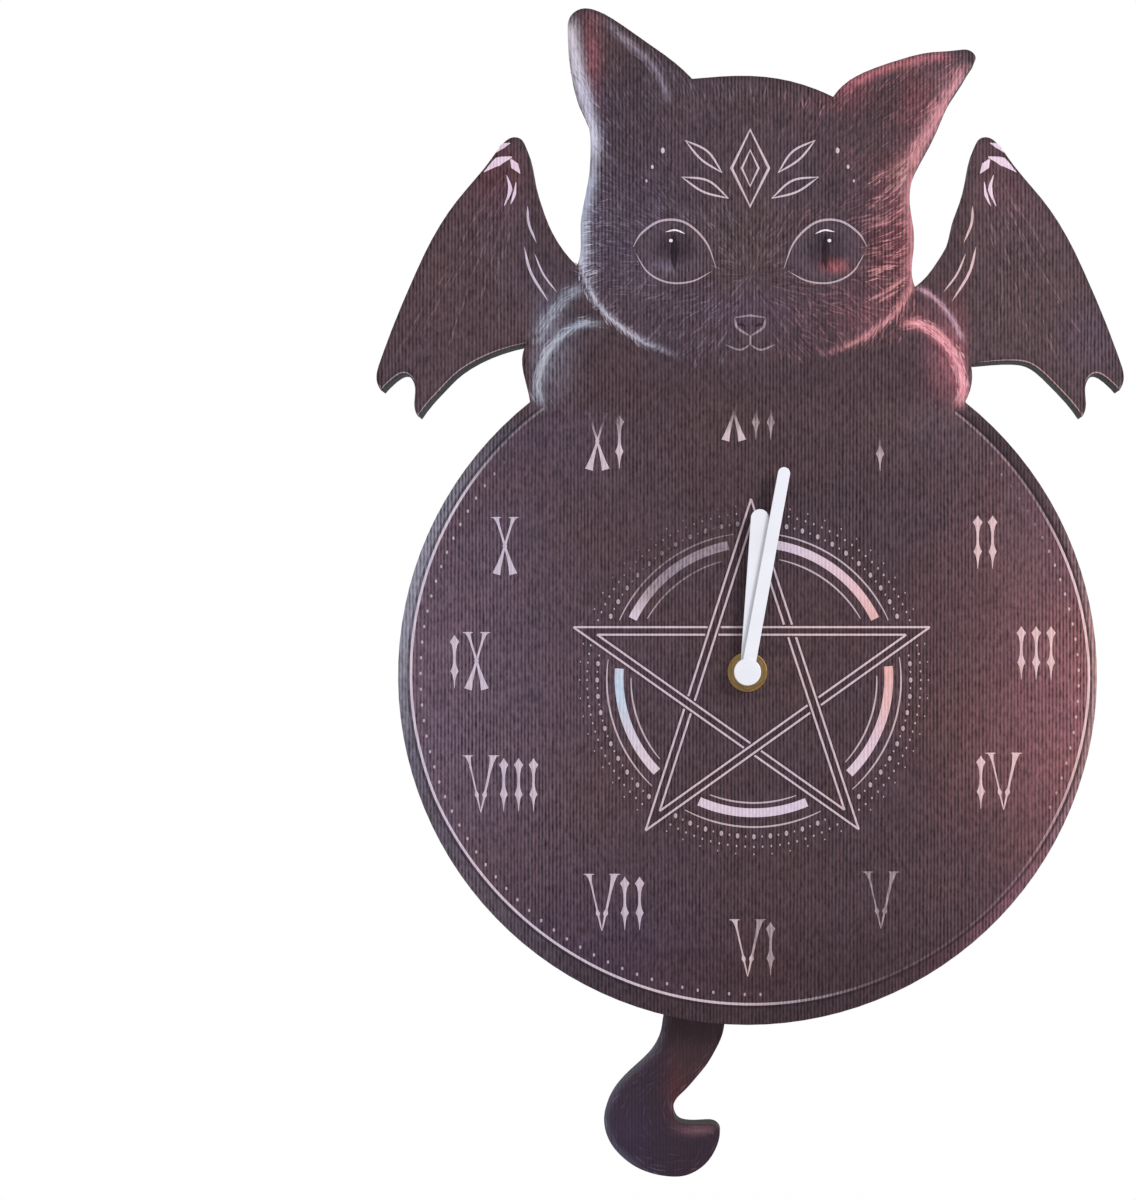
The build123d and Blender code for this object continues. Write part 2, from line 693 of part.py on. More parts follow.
# Hanger
def hanger_plate():
    """Sheet steel: flat behind the board, bent back over the case, and up to the eye at the wall."""
    half = hanger_width / 2
    shelf_z = spindle_z + case_top + hanger_clear
    plate = block(-half, half, spindle_z - hanger_below, shelf_z + hanger_gauge, hanger_back, hanger_gauge)
    plate += block(-eye_radius, eye_radius, shelf_z, shelf_z + hanger_gauge, wall_y,
                   wall_y - hanger_back + hanger_gauge)
    plate += block(-eye_radius, eye_radius, shelf_z, 0, wall_y, hanger_gauge)
    eye = disc(0, 0, eye_radius, wall_y, hanger_gauge)
    plate += eye - block(-eye_radius, eye_radius, shelf_z - eye_radius, shelf_z, wall_y, hanger_gauge)
    plate -= disc(0, 0, eye_hole_radius, wall_y, hanger_gauge)
    return plate - disc(*spindle, bush_radius + fit_clearance, hanger_back, hanger_gauge)


# Hands
def hand_profile(length, hub_radius, root_width, tip_width, angle):
    """A straight blade with a round tip and a round hub, turned clockwise to its angle."""
    tip_radius = tip_width / 2
    tip_centre = length - tip_radius
    blade = make_face(Polyline((-root_width / 2, 0), (-tip_radius, tip_centre), (tip_radius, tip_centre),
                               (root_width / 2, 0), close=True))
    shape = blade + Pos(0, tip_centre) * Circle(tip_radius) + Circle(hub_radius)
    return Pos(*spindle) * Rot(0, 0, -angle) * shape


def hour_hand():
    """The short hand, pressed on the hour wheel's pipe."""
    profile = hand_profile(hour_length, hour_hub_radius, hour_root_width, hour_tip_width, hour_angle)
    return slab(profile, hour_back, hand_thick) - disc(*spindle, pipe_radius, hour_back, hand_thick)


def minute_hand():
    """The long hand, with a closed hub pressed on the minute arbor."""
    profile = hand_profile(minute_length, minute_hub_radius, minute_root_width, minute_tip_width,
                           minute_angle)
    hand = slab(profile, minute_back, hand_thick)
    dome = disc(*spindle, minute_hub_radius, minute_front, hub_dome)
    dome = fillet(dome.edges().filter_by(GeomType.CIRCLE).sort_by(Axis.Y)[0], hub_dome / 2)
    return hand + dome - disc(*spindle, arbor_radius, minute_back, hand_thick)


# Motor and electronics
def motor_layout():
    """The coil's axis and the depth of the stator's front."""
    coil_x = rotor_place[0] + motor_coil_reach
    coil_z = rotor_place[1] - motor_coil_length / 4
    magnet_middle = layer_back(3) - train_thick - train_gap - magnet_thick / 2
    stator_front = magnet_middle - stator_thick / 2
    return coil_x, coil_z, stator_front


def stator():
    """The motor's iron: a ring round the rotor, two legs and the core through the coil."""
    coil_x, coil_z, front = motor_layout()
    back = front + stator_thick
    half = motor_coil_length / 2 + bobbin_wall
    outer = magnet_radius + stator_gap + stator_ring
    iron = disc(*rotor_place, outer, back, stator_thick)
    for side in (-1, 1):
        leg = coil_z + side * half
        iron += block(rotor_place[0], coil_x + core_half, min(leg, leg + side * stator_ring),
                      max(leg, leg + side * stator_ring), back, stator_thick)
    iron += block(coil_x - core_half, coil_x + core_half, coil_z - half, coil_z + half, back, stator_thick)
    web_low = coil_z - half - stator_ring
    iron += block(rotor_place[0] - stator_ring / 2, rotor_place[0] + stator_ring / 2, web_low,
                  coil_z + half + stator_ring, back, stator_thick)
    return iron - disc(*rotor_place, magnet_radius + stator_gap, back, stator_thick)


def upright(x, y, z_low, z_high, radius):
    """A round rod that stands up, along Z."""
    return Pos(x, y, (z_low + z_high) / 2) * Cylinder(radius, z_high - z_low)


def motor_coil_parts():
    """The motor coil's bobbin and its winding, round the stator's core."""
    coil_x, coil_z, front = motor_layout()
    y = front + stator_thick / 2
    half = motor_coil_length / 2
    hole = Pos(coil_x, y, coil_z) * Box(2 * core_half, stator_thick, motor_coil_length + 2 * bobbin_wall)
    tube_radius = core_half + bobbin_wall
    bobbin = upright(coil_x, y, coil_z - half, coil_z + half, tube_radius)
    for side in (-1, 1):
        edge = coil_z + side * half
        bobbin += upright(coil_x, y, min(edge, edge + side * bobbin_wall),
                          max(edge, edge + side * bobbin_wall), motor_coil_radius)
    winding = upright(coil_x, y, coil_z - half, coil_z + half, motor_coil_radius - bobbin_wall / 2)
    winding -= upright(coil_x, y, coil_z - half, coil_z + half, tube_radius)
    return bobbin - hole, winding


def electronics():
    """The circuit board by the battery bay, with its crystal and the chip's cover."""
    low = battery_z + bay_half + rib_thick
    x_low = -inner_half
    board_back_y = cover_inner
    board = block(x_low, x_low + board_length, low, low + board_height, board_back_y, circuit_thick)
    front = board_back_y - circuit_thick
    crystal_z = low + board_height / 2
    crystal_x = x_low + board_length / 5
    crystal = Pos(crystal_x, front - crystal_radius, crystal_z) * Rot(0, 90, 0) * Cylinder(
        crystal_radius, crystal_length)
    chip = disc(x_low + board_length / 2, crystal_z, chip_radius, front, chip_thick)
    return board, crystal, chip


# Battery
def battery():
    """The cell, with its raised positive end on the right."""
    body = Pos(battery_x, battery_y, battery_z) * Rot(0, 90, 0) * Cylinder(battery_radius, battery_length)
    nub_x = battery_x + (battery_length + nub_length) / 2
    nub = Pos(nub_x, battery_y, battery_z) * Rot(0, 90, 0) * Cylinder(nub_radius, nub_length)
    return body + nub


def contact_strip(side):
    """A flat strip against an end wall of the bay."""
    middle = side * (inner_half - contact_thick / 2)
    return Pos(middle, battery_y, battery_z) * Box(contact_thick, contact_width, contact_width)


def negative_contact():
    """The strip at the cell's flat end, with a raised pad that touches it."""
    pad_x = contact_thick + contact_pad / 2 - inner_half
    pad = Pos(pad_x, battery_y, battery_z) * Rot(0, 90, 0) * Cylinder(nub_radius, contact_pad)
    return contact_strip(-1) + pad


drive_bobbin, drive_winding = drive_coil_parts()
motor_bobbin, motor_winding = motor_coil_parts()
circuit_board, quartz_crystal, chip_cover = electronics()

nodes = {
    "front_board": board_plate(board_back, board_thick),
    "face_sheet": board_plate(sheet_back, sheet_thick),
    "tail_board": tail_board(),
    "tail_sheet": slab(tail_outline(), tail_front + sheet_thick, sheet_thick),
    "tail_strap": tail_strap(),
    "tail_screws": tail_screws(),
    "pendulum_arm": pendulum_arm(),
    "pendulum_magnet": pendulum_magnet(),
    "pendulum_pin": pendulum_pin(),
    "pendulum_bobbin": drive_bobbin,
    "pendulum_winding": drive_winding,
    "hanger_plate": hanger_plate(),
    "movement_case": movement_case(),
    "back_cover": back_cover(),
    "train_plate": train_plate(),
    "threaded_bushing": threaded_bushing(),
    "rubber_gasket": ring(gasket_radius, bush_radius + fit_clearance, gasket_back, gasket_thick),
    "brass_washer": brass_washer(),
    "hex_nut": hex_nut(),
    "hour_hand": hour_hand(),
    "minute_hand": minute_hand(),
    "minute_arbor": minute_arbor(),
    "hour_wheel": hour_wheel(),
    "motion_wheel": motion_wheel(),
    "setting_knob": setting_knob(),
    "centre_wheel": centre_wheel(),
    "third_wheel": train_wheel(third_place, third_teeth, third_pinion_teeth, third_pinion_turn, 1),
    "fourth_wheel": train_wheel(fourth_place, fourth_teeth, fourth_pinion_teeth, fourth_pinion_turn, 2),
    "fifth_wheel": train_wheel(fifth_place, fifth_teeth, fifth_pinion_teeth, fifth_pinion_turn, 3),
    "rotor_pinion": rotor_pinion(),
    "rotor_magnet": rotor_magnet(),
    "motor_bobbin": motor_bobbin,
    "motor_winding": motor_winding,
    "stator": stator(),
    "circuit_board": circuit_board,
    "quartz_crystal": quartz_crystal,
    "chip_cover": chip_cover,
    "battery": battery(),
    "positive_contact": contact_strip(1),
    "negative_contact": negative_contact(),
}

os.makedirs("parts", exist_ok=True)
for name, shape in nodes.items():
    export_step(shape, f"parts/{name}.step")
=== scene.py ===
import bmesh
import bpy
import json
import math
import numpy as np
from bpy.props import FloatProperty, FloatVectorProperty, IntProperty, PointerProperty
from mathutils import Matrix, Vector


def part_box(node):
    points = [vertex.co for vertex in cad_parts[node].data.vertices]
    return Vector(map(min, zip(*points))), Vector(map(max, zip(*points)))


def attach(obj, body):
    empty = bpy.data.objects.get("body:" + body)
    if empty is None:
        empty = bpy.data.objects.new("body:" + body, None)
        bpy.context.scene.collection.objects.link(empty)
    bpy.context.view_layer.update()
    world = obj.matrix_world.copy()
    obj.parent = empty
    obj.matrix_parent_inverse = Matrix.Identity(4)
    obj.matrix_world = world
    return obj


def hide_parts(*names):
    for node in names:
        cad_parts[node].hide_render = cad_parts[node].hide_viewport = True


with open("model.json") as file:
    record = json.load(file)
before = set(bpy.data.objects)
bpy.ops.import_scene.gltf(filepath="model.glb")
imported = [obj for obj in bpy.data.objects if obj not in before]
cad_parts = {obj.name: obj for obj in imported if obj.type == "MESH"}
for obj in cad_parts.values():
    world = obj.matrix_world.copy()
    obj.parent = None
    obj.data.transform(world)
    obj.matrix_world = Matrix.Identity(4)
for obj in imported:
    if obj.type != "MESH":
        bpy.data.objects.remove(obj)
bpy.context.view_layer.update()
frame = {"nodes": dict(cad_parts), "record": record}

bl_info = {
    "name": "Winged cat wall clock",
    "version": (1, 0, 0),
    "blender": (4, 5, 0),
    "location": "View3D > Sidebar > Clock",
    "description": "Dresses a printed cat-shaped wall clock with a swinging tail",
    "category": "Add Mesh",
}

MM = 0.001
NODES = frame["nodes"]
SLOTS = {part["node"]: part["material_slot"] for part in frame["record"]["subparts"]}
BODIES = {node: body for body, nodes in frame["record"]["behaviour"]["bodies"].items() for node in nodes}
FACE_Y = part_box("face_sheet")[0][1]
_, TAIL_Y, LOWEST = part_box("tail_sheet")[0]
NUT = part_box("hex_nut")
HUB_X, HUB_Z = ((NUT[0][axis] + NUT[1][axis]) / 2 for axis in (0, 2))
MERGED = 1e-6
SHARP, INK_SHARP = math.radians(35), math.radians(50)
PRINT, TAIL_PRINT = "printed canvas", "printed tail"


# Colours and small sums

def tone(red, green, blue):
    """A display colour from 0 to 255 as a linear one."""
    share = np.array([red, green, blue]) / 255
    return np.where(share <= 0.04045, share / 12.92, ((share + 0.055) / 1.055) ** 2.4)


def flat(colour, count):
    """One colour for each of a number of points."""
    return np.repeat(np.array(colour)[None, :], count, axis=0)


def smooth(value, low, high):
    """A soft step from 0 at low to 1 at high."""
    share = np.clip((value - low) / (high - low), 0, 1)
    return share * share * (3 - 2 * share)


def window(value, rise, fall):
    """1 between two soft steps, 0 beyond them."""
    return smooth(value, *rise) * (1 - smooth(value, *fall))


def bell(value, width, power=2):
    """1 at 0, falling softly over a width."""
    return np.exp(-(value / width) ** power)


def blob(u, v, centre_u, centre_v, radius_u, radius_v):
    """A soft round patch of 1 in its middle."""
    return np.exp(-((u - centre_u) / radius_u) ** 2 - ((v - centre_v) / radius_v) ** 2)


def mix(colour, other, share):
    """Colours mixed by a share for each point."""
    return colour + (other - colour) * share[:, None]


def around(centre, radius, angles):
    """Places on a circle, at angles in degrees from the right."""
    turn = np.radians(angles)
    return centre[0] + radius * np.cos(turn), centre[1] + radius * np.sin(turn)


def angle_from(centre, u, v):
    """The angle of places round a centre, in degrees from the right."""
    return np.degrees(np.arctan2(v - centre[1], u - centre[0]))


# Settings

def a_length(name, description, default, **limits):
    """A setting in metres."""
    return FloatProperty(name=name, description=description, default=default, unit="LENGTH",
                         subtype="DISTANCE", **limits)


def a_colour(name, description, *shade):
    """A colour setting, with its default from 0 to 255."""
    return FloatVectorProperty(name=name, description=description, default=tuple(tone(*shade)),
                               subtype="COLOR", size=3, min=0, max=1)


class ClockPrintSettings(bpy.types.PropertyGroup):
    """Sizes and colours of the printed picture"""
    grid_step: a_length("Paint step", "Spacing of the points that carry the paint", 0.00125, min=0.0005)
    rib_pitch: a_length("Rib pitch", "Distance between the canvas ribs", 0.0012, min=0.0002)
    line_radius: a_length("Line radius", "Half width of a printed line", 0.0004, min=0.00005)
    border_radius: a_length("Border radius", "Lowest radius of the pale border line", 0.1168)
    star_band: a_length("Star band", "Width of the star's double line", 0.0026)
    ring_radius: a_length("Ring radius", "Middle of the broad ring behind the star", 0.0466)
    numeral_height: a_length("Numeral height", "Height of the hour numerals", 0.0195)
    base: a_colour("Ground", "Dark ground of the print", 77, 62, 67)
    ink: a_colour("Ink", "Pale ink of the lines", 216, 197, 205)
    fur_strokes: IntProperty(name="Fur strokes", description="How many brush strokes make the fur",
                             default=3600, min=100)
    fur_seed: IntProperty(name="Fur seed", description="Start of the strokes' arrangement", default=11)


class ClockHardwareSettings(bpy.types.PropertyGroup):
    """Sizes and colours of the boards, the hands and the movement"""
    board_bevel: a_length("Board bevel", "Rounding of the boards' cut edges", 0.0003)
    hand_bevel: a_length("Hand bevel", "Rounding of the hands' edges", 0.0002)
    case_bevel: a_length("Case bevel", "Rounding of the movement's outer edges", 0.0004)
    board: a_colour("Board", "Paint on the boards' edges and backs", 26, 23, 25)
    lacquer: a_colour("Hands", "Lacquer of the hands", 236, 237, 246)
    brass: a_colour("Brass", "Brass of the nut and bushing", 140, 114, 74)
    plastic: a_colour("Case", "Plastic of the movement's case", 44, 44, 47)


class ClockStageSettings(bpy.types.PropertyGroup):
    """Floor, light and camera"""
    floor_drop: a_length("Floor drop", "From the tail's lowest point to the floor", 0.25)
    world_light: FloatProperty(name="Room light", description="Strength of the even light", default=0.62)
    key_power: FloatProperty(name="Key light", description="Power of the large lamp", default=9.0,
                             unit="POWER")
    camera_distance: a_length("Camera distance", "From the dial to the camera", 0.7)
    frame_height: a_length("Frame height", "Height seen at the dial", 0.41202)


# Shader nodes and node groups

def feed(tree, value, socket):
    """Link an output to an input, or set the input to a number, a vector or a colour."""
    if isinstance(value, bpy.types.NodeSocket):
        tree.links.new(value, socket)
    else:
        socket.default_value = (*value, 1) if socket.type == "RGBA" else value


def feed_all(tree, node, values):
    """Link or set a node's inputs by their names."""
    for label, value in values.items():
        feed(tree, value, node.inputs[label])


def calc(tree, operation, *values, clamp=False):
    """A Math node; each input is a socket or a number. Returns its output."""
    node = tree.nodes.new("ShaderNodeMath")
    node.operation = operation
    node.use_clamp = clamp
    for value, socket in zip(values, node.inputs):
        feed(tree, value, socket)
    return node.outputs[0]


def scaled(tree, value, factor, shift, clamp=False):
    """A value times a factor, plus a shift."""
    return calc(tree, "MULTIPLY_ADD", value, factor, shift, clamp=clamp)


def vector_calc(tree, operation, vector):
    """A Vector Math node on one vector."""
    node = tree.nodes.new("ShaderNodeVectorMath")
    node.operation = operation
    feed(tree, vector, node.inputs[0])
    return node


def mapped(tree, position, label, value):
    """The position with a Scale or a Rotation."""
    node = tree.nodes.new("ShaderNodeMapping")
    feed_all(tree, node, {"Vector": position, label: value})
    return node.outputs["Vector"]


def x_of(tree, position):
    """The position's X."""
    node = tree.nodes.new("ShaderNodeSeparateXYZ")
    feed(tree, position, node.inputs[0])
    return node.outputs["X"]


def noise(tree, position, scale, detail=3.0, roughness=0.55, stretch=(1, 1, 1)):
    """A Noise node on a stretched position. Returns its value from about 0.3 to 0.7."""
    node = tree.nodes.new("ShaderNodeTexNoise")
    feed_all(tree, node, {"Vector": mapped(tree, position, "Scale", stretch), "Scale": scale,
                          "Detail": detail, "Roughness": roughness})
    return node.outputs["Fac"]


def blend_colour(tree, share, first, second, kind="MIX"):
    """A colour Mix node. Returns its colour output."""
    node = tree.nodes.new("ShaderNodeMix")
    node.data_type = "RGBA"
    node.blend_type = kind
    for index, value in ((0, share), (6, first), (7, second)):
        feed(tree, value, node.inputs[index])
    return node.outputs[2]


def add_group(name, inputs, outputs):
    """A new shader node group. Returns it with its inputs' sockets and its end node."""
    group = bpy.data.node_groups.new(name, "ShaderNodeTree")
    for label, kind, *value in inputs:
        socket = group.interface.new_socket(label, in_out="INPUT", socket_type=kind)
        if value:
            socket.default_value = value[0]
    for label, kind in outputs:
        group.interface.new_socket(label, in_out="OUTPUT", socket_type=kind)
    return group, group.nodes.new("NodeGroupInput").outputs, group.nodes.new("NodeGroupOutput")


def ribbed_canvas_group():
    """Fine upright ribs of printed canvas: a painted shade round 1, lighter on the ribs' crests and darker
    between them, and a height.
    """
    group, start, end = add_group(
        "ribbed canvas",
        (("Position", "NodeSocketVector"), ("Pitch", "NodeSocketFloat", 0.0012),
         ("Depth", "NodeSocketFloat", 0.16)),
        (("Shade", "NodeSocketFloat"), ("Height", "NodeSocketFloat")))
    place = start["Position"]
    wander = noise(group, place, 150.0, 2.0, 0.5, (1, 1, 0.12))
    turns = calc(group, "DIVIDE", x_of(group, place), start["Pitch"])
    wave = calc(group, "SINE", calc(group, "MULTIPLY", scaled(group, wander, 0.9, turns), 2 * math.pi))
    strength = scaled(group, noise(group, place, 38.0, 2.0, 0.5, (1, 1, 0.5)), 1.4, 0.08)
    grain = scaled(group, noise(group, place, 1150.0, 1.0, 0.5, (1, 1, 0.42)), 2.6, -1.3)
    weave = calc(group, "ADD", calc(group, "MULTIPLY", wave, strength), grain)
    feed_all(group, end, {"Shade": scaled(group, weave, start["Depth"], 1.0), "Height": weave})
    return group


def mottled_finish_group():
    """Two tones in soft patches, with a roughness that follows them and a fine grain."""
    group, start, end = add_group(
        "mottled finish",
        (("Position", "NodeSocketVector"), ("First", "NodeSocketColor", (0.5, 0.5, 0.5, 1)),
         ("Second", "NodeSocketColor", (0.4, 0.4, 0.4, 1)), ("Patches", "NodeSocketFloat", 60.0),
         ("Grain", "NodeSocketFloat", 900.0), ("Smoothest", "NodeSocketFloat", 0.3),
         ("Roughest", "NodeSocketFloat", 0.5)),
        (("Colour", "NodeSocketColor"), ("Roughness", "NodeSocketFloat"), ("Height", "NodeSocketFloat")))
    patch = noise(group, start["Position"], start["Patches"])
    share = scaled(group, patch, 2.2, -0.6, clamp=True)
    grain = noise(group, start["Position"], start["Grain"], 2.0)
    spread = calc(group, "SUBTRACT", start["Roughest"], start["Smoothest"])
    both = scaled(group, grain, 0.5, calc(group, "MULTIPLY", share, 0.5))
    feed_all(group, end, {"Colour": blend_colour(group, share, start["First"], start["Second"]),
                          "Roughness": scaled(group, both, spread, start["Smoothest"]), "Height": grain})
    return group


GROUPS = {"ribbed canvas": ribbed_canvas_group, "mottled finish": mottled_finish_group}


def use_group(tree, name, position, **values):
    """A group node in a material, with its own values; the group is made when first asked for."""
    node = tree.nodes.new("ShaderNodeGroup")
    node.node_tree = bpy.data.node_groups.get(name) or GROUPS[name]()
    feed_all(tree, node, {"Position": position, **values})
    return node.outputs


def seen_directly(tree):
    """1 where the camera, a reflection or a view through something sees it, 0 where it lights."""
    seen = tree.nodes.new("ShaderNodeLightPath").outputs
    return calc(tree, "MAXIMUM", seen["Is Camera Ray"],
                calc(tree, "MAXIMUM", seen["Is Glossy Ray"], seen["Is Transmission Ray"]))


# Materials

def start_material(name):
    """A new node material with its tree and its object position."""
    material = bpy.data.materials.new(name)
    material.use_nodes = True
    tree = material.node_tree
    return material, tree, tree.nodes.new("ShaderNodeTexCoord").outputs["Object"]


def dress(tree, height, distance, inputs):
    """Feed the shader's inputs, and its normal from a height."""
    bump = tree.nodes.new("ShaderNodeBump")
    feed_all(tree, bump, {"Distance": distance, "Height": height})
    feed_all(tree, tree.nodes["Principled BSDF"], {**inputs, "Normal": bump.outputs["Normal"]})


def mottled_material(name, first, second, patches, grain, rough, bump, stretch=(1, 1, 1), **inputs):
    """A two-tone material with grain, for plastics, paints and metals."""
    material, tree, position = start_material(name)
    made = use_group(tree, "mottled finish", mapped(tree, position, "Scale", stretch), First=first,
                     Second=second, Patches=patches, Grain=grain, Smoothest=rough[0], Roughest=rough[1])
    dress(tree, made["Height"], bump,
          {"Base Color": made["Colour"], "Roughness": made["Roughness"], **inputs})
    return material


def printed_canvas(name, settings, depth, roughness):
    """The picture's paint, read from the piece's own points, on ribbed canvas, with the ribs' painted shade
    multiplied into it and weaker on the pale ink.
    """
    _, tree, position = start_material(name)
    paint = tree.nodes.new("ShaderNodeAttribute")
    paint.attribute_name = "paint"
    ribs = use_group(tree, "ribbed canvas", position, Pitch=settings.rib_pitch, Depth=depth)
    patch = noise(tree, position, 26.0, 4.0, 0.6)
    shade_patchiness = scaled(tree, noise(tree, position, 170.0, 3.0, 0.6), 0.4, 0.8)
    plum = scaled(tree, patch, 2.4, -0.7, clamp=True)
    tint = blend_colour(tree, plum, (1.06, 1.0, 0.95), (0.94, 0.97, 1.07))
    inked = scaled(tree, paint.outputs["Fac"], -3.2, 1.5, clamp=True)
    # the ribs' painted shade, varying in strength in patches, then weakened on the pale ink
    rib_shade = scaled(tree, calc(tree, "MULTIPLY", ribs["Shade"], shade_patchiness), 1.0, -1.0)
    shade = vector_calc(tree, "SCALE", blend_colour(tree, 1.0, paint.outputs["Color"], tint, "MULTIPLY"))
    feed(tree, scaled(tree, rib_shade, calc(tree, "MAXIMUM", inked, 0.25), 1.0), shade.inputs["Scale"])
    dress(tree, ribs["Height"], 0.00003,
          {"Base Color": shade.outputs["Vector"], "Roughness": scaled(tree, patch, 0.2, roughness - 0.1),
           "Specular IOR Level": 0.14})


def wound_wire(name, turn, pitch):
    """Copper wire wound side by side, seen as fine ribs along an axis, with painted shade: darker copper
    between the turns and lighter copper on their crests.
    """
    material, tree, position = start_material(name)
    ribs = use_group(tree, "ribbed canvas", mapped(tree, position, "Rotation", turn), Pitch=pitch, Depth=0.5)
    # share runs from the painted shade between the turns to the painted highlight on them
    share = scaled(tree, ribs["Shade"], 1.0, -0.5, clamp=True)
    dress(tree, ribs["Height"], 0.00005,
          {"Base Color": blend_colour(tree, share, tone(96, 44, 24), tone(196, 112, 66)),
           "Metallic": 0.85, "Roughness": scaled(tree, share, -0.15, 0.45)})
    return material


def circuit_board_material():
    """Green solder mask with paler tracks and tinned pads."""
    material, tree, position = start_material("green circuit board")
    cells = tree.nodes.new("ShaderNodeTexVoronoi")
    cells.feature = "DISTANCE_TO_EDGE"
    cells.distance = "EUCLIDEAN"
    feed_all(tree, cells, {"Scale": 420.0, "Vector": position})
    track = calc(tree, "LESS_THAN", cells.outputs["Distance"], 0.09)
    mask = use_group(tree, "mottled finish", position, First=tone(22, 84, 48), Second=tone(16, 66, 40),
                     Patches=300.0, Grain=2500.0)
    dress(tree, track, 0.00003, {"Base Color": blend_colour(tree, track, mask["Colour"], tone(64, 128, 76)),
                                 "Roughness": mask["Roughness"]})
    return material


BAND_START = 0.68
CAN_END, PLUS_END = 0.0006, 0.0019


def battery_wrap_material():
    """A plain printed sleeve along X: dark, with a copper-coloured band and bare metal ends."""
    material, tree, position = start_material("battery wrap")
    place = x_of(tree, position)
    low, high = (corner[0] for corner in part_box("battery"))
    band = calc(tree, "GREATER_THAN", place, low + (high - low) * BAND_START)
    end = calc(tree, "MAXIMUM", calc(tree, "LESS_THAN", place, low + CAN_END),
               calc(tree, "GREATER_THAN", place, high - PLUS_END))
    dark = use_group(tree, "mottled finish", position, First=tone(34, 38, 46), Second=tone(28, 32, 40),
                     Patches=120.0, Grain=1500.0, Smoothest=0.22, Roughest=0.34)
    sleeve = blend_colour(tree, band, dark["Colour"], tone(186, 122, 62))
    dress(tree, dark["Height"], 0.00001,
          {"Base Color": blend_colour(tree, end, sleeve, tone(205, 205, 202)),
           "Metallic": calc(tree, "MAXIMUM", end, calc(tree, "MULTIPLY", band, 0.7)),
           "Roughness": dark["Roughness"]})
    return material


# slot, name, two colours from 0 to 255, patches, grain, least and most roughness, bump, other values;
# a word is a colour of the settings, and the number after it darkens that colour for the second one
FINISHES = (
    ("painted_board", "black painted board", "board", 0.78, 45, 700, (0.52, 0.74), 0.00005,
     {"Specular IOR Level": 0.22}),
    ("white_paint", "white lacquer", "lacquer", 0.93, 90, 1600, (0.28, 0.42), 0.000008,
     {"Coat Weight": 0.15}),
    ("brass", "turned brass", "brass", 0.78, 220, 2600, (0.22, 0.42), 0.00001, {"Metallic": 1.0}),
    ("black_plastic", "black moulded plastic", "plastic", 0.78, 110, 2400, (0.38, 0.56), 0.00002,
     {"Specular IOR Level": 0.45}),
    ("bright_steel", "rolled steel", (196, 196, 194), (170, 170, 170), 130, 1500, (0.24, 0.4), 0.00001,
     {"Metallic": 1.0, "stretch": (1, 1, 0.15)}),
    ("white_plastic", "white moulded plastic", (226, 224, 216), (214, 212, 204), 140, 2400, (0.35, 0.5),
     0.00001, {}),
    ("magnet", "sintered magnet", (92, 92, 96), (70, 70, 74), 300, 3000, (0.35, 0.55), 0.00003,
     {"Metallic": 0.7}),
    ("black_rubber", "black rubber", (30, 30, 30), (24, 24, 24), 150, 1800, (0.65, 0.85), 0.00005,
     {"Specular IOR Level": 0.3}),
    ("black_resin", "black resin", (22, 22, 24), (16, 16, 18), 400, 3000, (0.18, 0.4), 0.00003, {}),
    ("plated_contact", "plated contact", (200, 198, 190), (176, 172, 162), 260, 2600, (0.2, 0.36), 0.00001,
     {"Metallic": 1.0}),
)


def hardware_materials(settings):
    """Every finish of the boards, the hands and the movement, by the record's slot."""
    made = {"circuit_board": circuit_board_material(), "battery_wrap": battery_wrap_material(),
            "copper_wire": wound_wire("copper winding", (0, 0, math.pi / 2), 0.00025)}
    for slot, name, first, second, patches, grain, rough, bump, more in FINISHES:
        if isinstance(first, str):
            first = getattr(settings, first)
            second = [channel * second for channel in first]
        else:
            first, second = tone(*first), tone(*second)
        made[slot] = mottled_material(name, first, second, patches, grain, rough, bump, **more)
    return made


# Mesh helpers

def deselect():
    """Nothing selected, nothing in edit mode."""
    if bpy.context.object and bpy.context.object.mode != "OBJECT":
        bpy.ops.object.mode_set(mode="OBJECT")
    bpy.ops.object.select_all(action="DESELECT")


def add_object(name, mesh):
    """An object for a mesh, in the scene."""
    piece = bpy.data.objects.new(name, mesh)
    bpy.context.scene.collection.objects.link(piece)
    return piece


def activate(piece):
    """One piece selected and active."""
    deselect()
    piece.select_set(True)
    bpy.context.view_layer.objects.active = piece


def settle(piece, name, material, body):
    """Name a finished piece, give it its material, and let it ride on its body."""
    piece.name = name
    piece.data.name = name
    piece.data.materials.clear()
    piece.data.materials.append(material)
    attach(piece, body)


def copy_node(node):
    """A copy of a CAD node's mesh, with its loose corners merged."""
    piece = add_object("copy", NODES[node].data.copy())
    piece.matrix_world = NODES[node].matrix_world
    activate(piece)
    bpy.ops.object.transform_apply(location=True, rotation=True, scale=True)
    bpy.ops.object.mode_set(mode="EDIT")
    bpy.ops.mesh.select_all(action="SELECT")
    bpy.ops.mesh.remove_doubles(threshold=MERGED)
    bpy.ops.mesh.dissolve_limited(angle_limit=math.radians(0.5))
    bpy.ops.mesh.normals_make_consistent(inside=False)
    bpy.ops.object.mode_set(mode="OBJECT")
    return piece


def soften(rows):
    """CAD nodes' shapes with rounded edges, which then stand for them in the nodes' own finishes.

    Each row gives a node, a name, the rounding's width and its segments.
    """
    for node, name, width, segments in rows:
        piece = copy_node(node)
        activate(piece)
        bevel = piece.modifiers.new("edges", "BEVEL")
        bevel.width = width
        bevel.segments = segments
        bevel.limit_method = "ANGLE"
        bevel.angle_limit = math.radians(50)
        bevel.use_clamp_overlap = True
        bpy.ops.object.modifier_apply(modifier=bevel.name)
        bpy.ops.object.shade_smooth_by_angle(angle=SHARP)
        normals = piece.modifiers.new("normals", "WEIGHTED_NORMAL")
        normals.keep_sharp = True
        bpy.ops.object.modifier_apply(modifier=normals.name)
        settle(piece, name, NODES[node].data.materials[0], BODIES[node])
        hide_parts(node)


